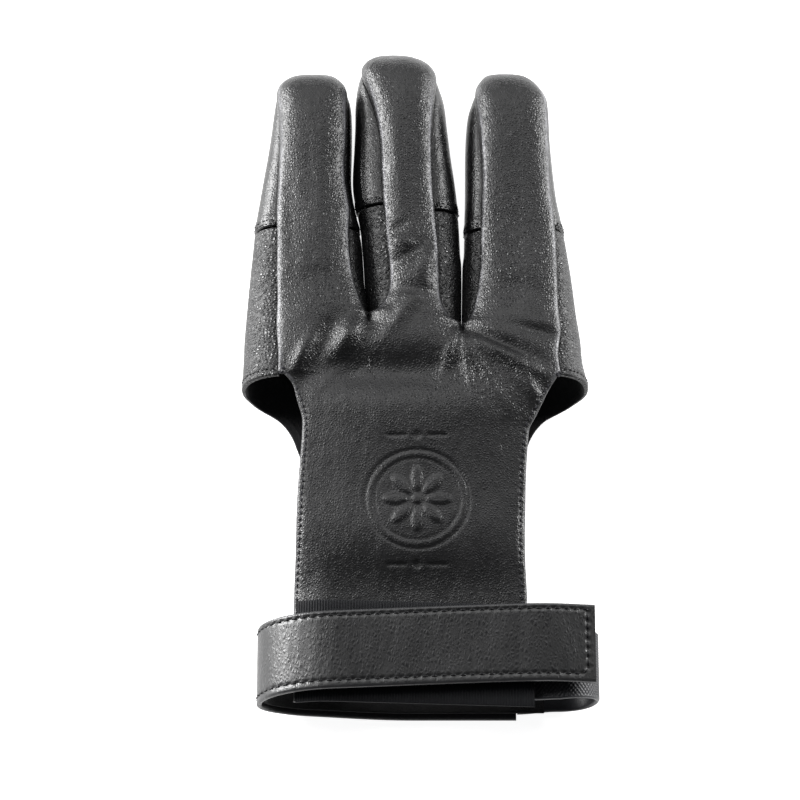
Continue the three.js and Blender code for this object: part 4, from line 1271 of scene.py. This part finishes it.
# The back's rolled edges are painted pale: partly wear, partly a painted highlight.
marks = {"wear_and_highlight": wear_and_highlight_of(back), "slack": slack_of(back["outer"])}
dress("back_panel_hide", back, smooth_leather, "smooth_leather", "back_panel", **marks)
sew("tongue_stitches", face_of(back), back_lines.values(), **EDGE_STITCH)

# %% [markdown]
# The underside: palm leather and tips
#
# Below the seams the leather turns round the finger in a U and lies flat where the glove rests. The tips are
# separate caps of firmer leather that meet the palm leather in a sewn step. The palm leather runs on below
# the mouth into a short flap with a turned hem. Both are lofted like the back, since they follow its tables.

# %% The walls between the stalls
# Towards the forks the walls of neighbouring stalls press together, and no light falls through between them.
UNDER_COLUMNS = 76
UNDER_SPACING = 0.75
PRESS = {"share": 0.85, "reach": 1.0, "left": 50, "right": 43, "fade": 5}


def pressed(sheet):
    ys = np.linspace(0, 80, 81)
    for points in sheet.points:
        for side in ("left", "right"):
            line = np.interp(points[:, 1], ys, [boundaries(y)[side] for y in ys])
            away = line - points[:, 0]
            weight = within(points[:, 1], PRESS[side], PRESS["fade"])
            points[:, 0] += PRESS["share"] * away * ridge(away, PRESS["reach"]) * weight
    return sheet


# %% The tips
TIP_STITCH = {"spacing": 1.4, "length": 1.1, "width": 0.36, "lift": 0.08}
TIP_SEAM = {"insets": (1.7, 3.0), "depth": 0.42, "width": 0.4, "margin": 0.8}
TIP_RIDGE = {"height": 0.25, "reach": 3.5, "slope": 1.5}
TIP_HIDE = {"thickness": TIP_LEATHER, "roll": 0.8, "passes": 24}
TIP_SETBACK = 0.6  # how far the middle of the very tip stays behind the back leather


def place_down(name, distance):
    """The place of a stall's table at a distance from its tip."""
    return SECTIONS[name].find(distance / STALLS[name]["length"])


def tip_sheet(name):
    rows = []
    for place in stall_places(name, 0, place_down(name, STALLS[name]["tip"]), UNDER_SPACING, True, True):
        grown = smooth(place, 0, 0.6)
        line = underside_line(section(name, place), SEAM_TUCK * grown, SEAM_DROP * (0.5 + 0.5 * grown))
        line[:, 1] -= TIP_SETBACK * (1 - grown)
        rows.append(row_of(line, UNDER_COLUMNS)[::-1])
    return Sheet().grid(rows)


def below_tip(name):
    """Accepts the points along the lower edge of a tip."""
    seams = section(name, place_down(name, STALLS[name]["tip"]))["seams"]
    return lambda p: p[:, 1] < np.interp(p[:, 0], seams[:, 0], seams[:, 1]) + TIP_SEAM["margin"]


for name in NAMES:
    sheet = tip_sheet(name)
    plain = hide(sheet, **TIP_HIDE)
    rows = [inset_line(plain, below_tip(name), inset) for inset in TIP_SEAM["insets"]]

    def sewn(points, distance):
        drawn = (TIP_STITCH["spacing"], TIP_SEAM["depth"], TIP_SEAM["width"])
        raised = within(distance_to(points, rows[0])[0], TIP_RIDGE["reach"], TIP_RIDGE["slope"])
        return TIP_RIDGE["height"] * raised - sum(groove(points, row, *drawn) for row in rows)

    made = hide(sheet, shape=sewn, **TIP_HIDE)
    dress(f"{name}_tip_cap", made, tip_leather, "tip_leather", f"{name}_tip")
    sew(f"{name}_tip_stitches", face_of(made), rows, yarn=dark_thread, **TIP_STITCH)

# %% The palm leather
FLAP_START = 0.7
FLAP_ROWS = 50
PALM_ROWS = 18
FORK_DROP = 1.8  # how far below the back's fork points the palm leather starts


def hand_palm_row(share):
    """The underside of the hand space: the walls between the stalls sink over the depth of the web."""
    sink = smooth(share * INDEX_CROTCH / WEB_DEPTH, 0, 1)
    ends = row_ends(share)
    rows = {}
    for name in NAMES:
        part = hand_section(name, share)
        line = underside_line(part)
        half = len(line) // 2
        centre = line[half, 0]
        place = np.abs(np.arange(len(line)) - half) / half
        for side in (0, 1):
            if (name, side) in (("index", 0), ("ring", 1)):
                continue
            mine = (np.arange(len(line)) >= half) == bool(side)
            edge = part["walls"][side] + (2 * side - 1) * STALL_CLEARANCE
            line[mine, 0] = mix(line[mine, 0], mix(centre, edge, place[mine]), sink)
            line[mine, 2] = mix(line[mine, 2], 0, sink)
        rows[name] = row_of(line, UNDER_COLUMNS, *ends[name])
    for before, after in (("index", "middle"), ("middle", "ring")):
        shared = (rows[before][-1] + rows[after][0]) / 2
        rows[before][-1] = shared
        rows[after][0] = shared
    return chained(rows)


FLAP_SHARES = np.linspace(FLAP_START, 1, 13)
FLAP_LINES = [hand_palm_row(share) for share in FLAP_SHARES]
WALL_PLACE = 3


def rim_places(inward):
    """The place on the rim that each column runs to: straight down over the walls, evenly over the rest."""
    half_girth = lengths(FLAP_LINES[-1])[-1] / 2
    places = np.linspace(WALL_PLACE, RIM.last, 400)
    rim = np.array([RIM.values(place) for place in places])
    run = lengths(np.column_stack([rim[:, 0] * half_girth, rim[:, 1] * FLAP_LENGTH, 0 * places]))
    wall = rim[0, 0]
    spread = np.interp(np.clip((inward - wall) / (1 - wall), 0, 1) * run[-1], run, places)
    return np.where(inward <= wall, RIM.find(inward), spread)


def flap_rows():
    start = lengths(FLAP_LINES[0]) / lengths(FLAP_LINES[0])[-1]
    across = 2 * start - 1
    inward = 1 - np.abs(across)
    rim = np.array([RIM.values(place) for place in rim_places(inward)])
    steps = len(FLAP_LINES) - 1
    columns = np.arange(len(start))
    rows = []
    for share in stops(1, FLAP_ROWS, 0, 0)[1:]:
        reach = mix(FLAP_START, 1 + rim[:, 1], share)
        outward = 1 - mix(inward, rim[:, 0], share)
        wanted = 0.5 + 0.5 * np.sign(across) * outward
        level = np.clip((np.minimum(reach, 1) - FLAP_START) / (1 - FLAP_START) * steps, 0, steps)
        low = np.minimum(level.astype(int), steps - 1)
        found = np.array([cut(line, wanted * lengths(line)[-1]) for line in FLAP_LINES])
        row = mix(found[low, columns], found[low + 1, columns], (level - low)[:, None])
        row[:, 1] -= np.maximum(reach - 1, 0) * FLAP_LENGTH
        rows.append(row)
    return rows


def palm_sheet():
    starts = {name: place_down(name, STALLS[name]["tip"] + SEAM_GAP) for name in NAMES}
    sheet, forks = stalls_sheet(underside_line, UNDER_COLUMNS, UNDER_SPACING, starts, FORK_DROP, -1)
    hand = [hand_palm_row(share) for share in np.linspace(0, FLAP_START, PALM_ROWS)[1:]]
    return pressed(sheet.grid([row[::-1] for row in [forks] + hand + flap_rows()]))


# %% The hide of the palm and its hem
HEM_STITCH = {"spacing": 1.5, "length": 1.15, "width": 0.42, "lift": 0.08}
HEM_SEAM = {"inset": 3.1, "depth": 0.25, "width": 0.5, "below": -0.4}
PALM_ROLL = 0.7
palm_cut = palm_sheet()
plain = hide(palm_cut, PALM_LEATHER, PALM_ROLL)
hem_line = inset_line(plain, lambda p: p[:, 1] < HEM_SEAM["below"], HEM_SEAM["inset"])


def hemmed(points, distance):
    return -groove(points, hem_line, HEM_STITCH["spacing"], HEM_SEAM["depth"], HEM_SEAM["width"])


palm = hide(palm_cut, PALM_LEATHER, PALM_ROLL, shape=hemmed)
dress("palm_panel_hide", palm, grained_leather, "grained_leather", "palm_panel")
sew("hem_stitches", face_of(palm), [hem_line], yarn=dark_thread, **HEM_STITCH)

# %% Bar tacks at the corners of the mouth
# A bar tack is a short row of close stitches that lie nearly across it.
TACKS = {"index": (-38.2, -0.2, 60), "ring": (43.2, -0.8, 120)}
TACK_STITCH = {"spacing": 0.42, "length": 1.9, "width": 0.42, "lift": 0.25, "sink": 0.35, "slant": 84}
TACK_HALF = 1.7
back_face = face_of(back)
for side, (x, y, turn) in TACKS.items():
    middle = np.array(back_face.find_nearest((x, y, MOUTH_EDGE_HEIGHT))[0])
    reach = np.array([math.cos(math.radians(turn)), math.sin(math.radians(turn)), 0]) * TACK_HALF
    sew(f"{side}_bar_tack", back_face, [np.array([middle - reach, middle + reach])], **TACK_STITCH)

# %% [markdown]
# The wrist strap
#
# The strap is a band of leather over fuzzy tape, the elastic a coarse woven band, and a ribbed tape is sewn
# across the end of the tongue. Each is a flat profile that is carried along a path, so a band is lofted from
# its own cross-section, with rounded edges and a length and a width coordinate for its pattern.

# %% Bands
OUTER_FACE = -0.05  # points of a profile above this height take the relief
PALE_EDGE = {"from": 0.9, "full": 0.3}


def band(name, path, profile, material, relief=None, wear_and_highlight=0.0):
    """A closed band along a path. profile is a closed outline of across and up; relief gives the height of
    the outer face at a distance along and across, and the last argument pales the edges: partly worn leather,
    partly a painted highlight."""
    run = lengths(path)
    across = np.array([0, 1, 0])
    up = unit(np.cross(unit(np.gradient(path, run, axis=0)), across))
    points = path[:, None] + profile[None, :, :1] * across + profile[None, :, 1:] * up[:, None]
    if relief is not None:
        raised = relief(run[:, None], profile[None, :, 0]) * (profile[:, 1] > OUTER_FACE)
        points += up[:, None] * raised[:, :, None]
    rows, n = points.shape[:2]
    ids = np.arange(rows * n).reshape(rows, n)
    after = np.roll(ids, -1, axis=1)
    quads = np.stack([ids[:-1], after[:-1], after[1:], ids[1:]], axis=-1).reshape(-1, 4)
    piece = make_mesh(name, points.reshape(-1, 3), [*quads, ids[0][::-1], ids[-1]], [material])
    mesh = piece.data
    flat = np.stack([np.repeat(run, n), np.tile(profile[:, 0], rows)], axis=1)
    corners = np.zeros(len(mesh.loops), np.int32)
    mesh.loops.foreach_get("vertex_index", corners)
    mesh.uv_layers.new(name="band").data.foreach_set("uv", flat[corners].ravel() * MM)
    half = np.abs(profile[:, 0]).max()
    # The edges are painted paler: partly worn leather, partly a painted highlight.
    beside = wear_and_highlight * smooth(np.abs(profile[:, 0]), half - PALE_EDGE["from"], half - PALE_EDGE["full"])
    pale = mesh.attributes.new("wear_and_highlight", "FLOAT", "POINT")
    pale.data.foreach_set("value", np.tile(beside, rows).astype(np.float32))
    outward_and_smooth(piece)
    return piece


def rounded(width, thickness, columns, below=12, radius=0.5):
    """The outline of a flat band whose outer face is at height 0: from its left edge over the top to its
    right edge and back below, with fewer points below."""
    edge = radius * thickness
    x = np.linspace(-width / 2 + edge, width / 2 - edge, columns)
    angles = np.linspace(0, math.pi, 9)[1:-1]
    upper = np.column_stack([x, 0 * x])
    right = np.column_stack([x[-1] + edge * np.sin(angles), -thickness / 2 + thickness / 2 * np.cos(angles)])
    lower = np.column_stack([np.linspace(x[-1], x[0], below), np.full(below, -thickness)])
    return np.concatenate([upper, right, lower, right[::-1] * (-1, 1)])


# %% The strap's path
JOINT_X = 30
JOINT_LAP = 8
STRAP_SHIFTS = {"bend": -1.6, "joint": -3.3, "end": 1.4}
DROOP_OVERRUN = 4
DROOP_CURVE = 1.3
SKEW_START = 10
PATH_STEP = 0.45
BEND_STEPS = 60
UPWARD = np.linspace(0, math.pi / 2, BEND_STEPS)


def strap_shift(x, z, top):
    below = mix(STRAP_SHIFTS["bend"], STRAP_SHIFTS["joint"], smooth(x, -STRAP_LEFT, 0))
    over = mix(STRAP_SHIFTS["bend"], STRAP_SHIFTS["end"], smooth(x, -STRAP_LEFT - SKEW_START, STRAP_END))
    return mix(below, over, smooth(z, 0, top / 2))


def quarter(angles, centre, reach, exponent=2):
    """A quarter of a bend, from the level of its centre out to its reach, as x and z."""
    return np.column_stack([mix(c, r, share) for c, r, share in zip(centre, reach, arc(angles, exponent))])


def even_path(corners, step=PATH_STEP):
    corners = np.array(corners)
    length = lengths(corners)[-1]
    return cut(corners, np.linspace(0, length, max(int(length / step), 4)))


def strap_path(depth, start, end):
    """From the joint below the wrist round the left bend to the free end."""
    top = crest(depth)
    left = -STRAP_LEFT + depth
    flat = [(x, depth) for x in np.linspace(start, RISE_START, BEND_STEPS)]
    rising = quarter(UPWARD[::-1][1:], (RISE_START, BEND_MIDDLE), (left, depth))
    falling = quarter(UPWARD[1:], (BEND_START, BEND_MIDDLE), (left, top))
    x = np.linspace(BEND_START, end, 2 * BEND_STEPS)[1:]
    droop = STRAP_END_DROOP * smooth(x, TONGUE_WIDTH / 2, STRAP_END + DROOP_OVERRUN) ** DROOP_CURVE
    over = np.column_stack([x, top - droop])
    xz = np.concatenate([flat, rising, falling, over])
    y = STRAP_Y + np.array([strap_shift(a, b, top) for a, b in xz])
    return even_path(np.column_stack([xz[:, 0], y, xz[:, 1]]))


# %% The strap's seam, cover and lining
LINING_MARGIN = 1.5
# How pale the strap's edges are painted: partly worn leather, partly a painted highlight.
STRAP_WEAR_AND_HIGHLIGHT = 0.08
STRAP_STITCH = {"spacing": 2.7, "length": 2.1, "width": 0.5, "lift": 0.05, "sink": 0.7}
STRAP_SEAM = {"upper": 1.7, "lower": 2.3, "start": 3, "end": 2.2, "corner": 2.4, "depth": 0.32, "width": 0.5}
SEAM_SAMPLES = 0.3
strap_line = strap_path(0, JOINT_X, STRAP_END)
strap_run = lengths(strap_line)


def strap_seam():
    """The seam round the strap, along and across: down the lower edge, round the end and back."""
    s = STRAP_SEAM
    low, high = -STRAP_WIDTH / 2 + s["lower"], STRAP_WIDTH / 2 - s["upper"]
    end = strap_run[-1] - s["end"]
    turn = np.linspace(-math.pi / 2, 0, 9)
    corner = [(end - s["corner"] * (1 - math.cos(t)), low + s["corner"] * (1 + math.sin(t))) for t in turn]
    seam = np.array([(s["start"], low)] + corner + [(end, high), (s["start"], high)])
    seam = np.column_stack([seam, np.zeros(len(seam))])
    return cut(seam, np.arange(0, lengths(seam)[-1], SEAM_SAMPLES))


seam_flat = strap_seam()


def strap_relief(along, across):
    along, across = np.broadcast_arrays(along, across)
    places = np.column_stack([along.ravel(), across.ravel(), np.zeros(along.size)])
    drawn = (STRAP_STITCH["spacing"], STRAP_SEAM["depth"], STRAP_SEAM["width"])
    return -groove(places, seam_flat, *drawn).reshape(along.shape)


cover = rounded(STRAP_WIDTH, STRAP_LEATHER, 64)
strap = band("strap_cover", strap_line, cover, strap_grain, strap_relief, STRAP_WEAR_AND_HIGHLIGHT)
settle(strap, "strap_leather")
seam_line = cut(strap_line, seam_flat[:, 0])
seam_line[:, 1] += seam_flat[:, 1]
strap_face = tree_of([v.co / MM for v in strap.data.vertices], [p.vertices for p in strap.data.polygons])
sew("strap_stitches", strap_face, [seam_line], yarn=dark_thread, **STRAP_STITCH)
lining_line = strap_path(STRAP_LEATHER + SEAM_GAP, JOINT_X + JOINT_LAP, STRAP_END - LINING_MARGIN)
lining = band("strap_pile", lining_line, rounded(STRAP_WIDTH - 2 * LINING_MARGIN, TAPE, 30), loop_tape)
settle(lining, "strap_lining")

# %% The elastic
ELASTIC_WIDTH = 20
ELASTIC_REACH = 53.6
ELASTIC_LAP = 9
ELASTIC_BEND = 11.6
ELASTIC_MIDDLE = 11.5
ELASTIC_SAG = 0.4
ELASTIC_SHIFTS = {"tongue": -4.2, "reach": -1.9, "below": -2.2, "joint": -3}
LOWER_BEND = 2.2
ELASTIC_STEP = 0.24
ELASTIC_STEPS = 40


def elastic_path():
    low = TONGUE_HEIGHT - BACK_LEATHER - SEAM_GAP
    high = TONGUE_HEIGHT - ELASTIC_SAG
    bend = ELASTIC_REACH - ELASTIC_BEND
    shifts = ELASTIC_SHIFTS
    centre = (bend, ELASTIC_MIDDLE)
    x = np.linspace(TONGUE_WIDTH / 2 - ELASTIC_LAP, bend, ELASTIC_STEPS)
    rise = mix(low, high, smooth(x, TONGUE_WIDTH / 2 + 1, bend))
    angle = np.linspace(math.pi / 2, 0, ELASTIC_STEPS)[1:]
    share = angle / (math.pi / 2)
    back_x = np.linspace(bend, JOINT_X + SEAM_GAP, ELASTIC_STEPS // 2)[1:]
    xz = [
        np.column_stack([x, rise]),
        quarter(angle, centre, (ELASTIC_REACH, high)),
        quarter(angle[::-1], centre, (ELASTIC_REACH, 0), LOWER_BEND),
        np.column_stack([back_x, 0 * back_x]),
    ]
    shift = [
        np.full(len(x), shifts["tongue"]),
        mix(shifts["reach"], shifts["tongue"], share),
        mix(shifts["reach"], shifts["below"], share[::-1]),
        mix(shifts["joint"], shifts["below"], smooth(back_x, JOINT_X, bend)),
    ]
    xz, shift = np.concatenate(xz), np.concatenate(shift)
    return even_path(np.column_stack([xz[:, 0], STRAP_Y + shift, xz[:, 1]]), ELASTIC_STEP)


# The real weave is finer than this: it is drawn coarser so that it still shows from the camera.
WEAVE = {"along": 1.25, "across": 1.5, "height": 0.34}


def weave(along, across):
    """Rows of small knots, each row set off by half a knot."""
    knots = np.sin(2 * math.pi * along / WEAVE["along"]) * np.sin(2 * math.pi * across / WEAVE["across"])
    return WEAVE["height"] * (knots - 1) / 2


web = band("elastic_band", elastic_path(), rounded(ELASTIC_WIDTH, WEBBING, 84), woven_elastic, weave)
settle(web, "elastic_web")

# %% The ribbed tape
BASE_STRIP_WIDTH = 30
BASE_STRIP_OVERHANG = 0.7
BASE_STRIP_INSET = 1


def base_strip_path():
    row = TONGUE.at(TONGUE.last)
    left, right = row["left"] * TONGUE_WIDTH, row["right"] * TONGUE_WIDTH
    x = np.linspace(left + BASE_STRIP_INSET, right + BASE_STRIP_OVERHANG, 420)
    share = (x - x[0]) / (x[-1] - x[0])
    y = -TONGUE_LENGTH - TONGUE_END_TILT * (share - 0.5) - BASE_STRIP_OVERHANG + BASE_STRIP_WIDTH / 2
    z = TONGUE_HEIGHT + TAPE_GAP + TAPE - tongue_droop(x)
    return np.column_stack([x, y, z])


RIBS = {"period": 0.8, "height": 0.16}


def ribs(along, across):
    return RIBS["height"] * (np.cos(2 * math.pi * along / RIBS["period"]) - 1) / 2 + 0 * across


strip = band("ribbed_strip", base_strip_path(), rounded(BASE_STRIP_WIDTH, TAPE, 24), ribbed_tape, ribs)
settle(strip, "base_strip")
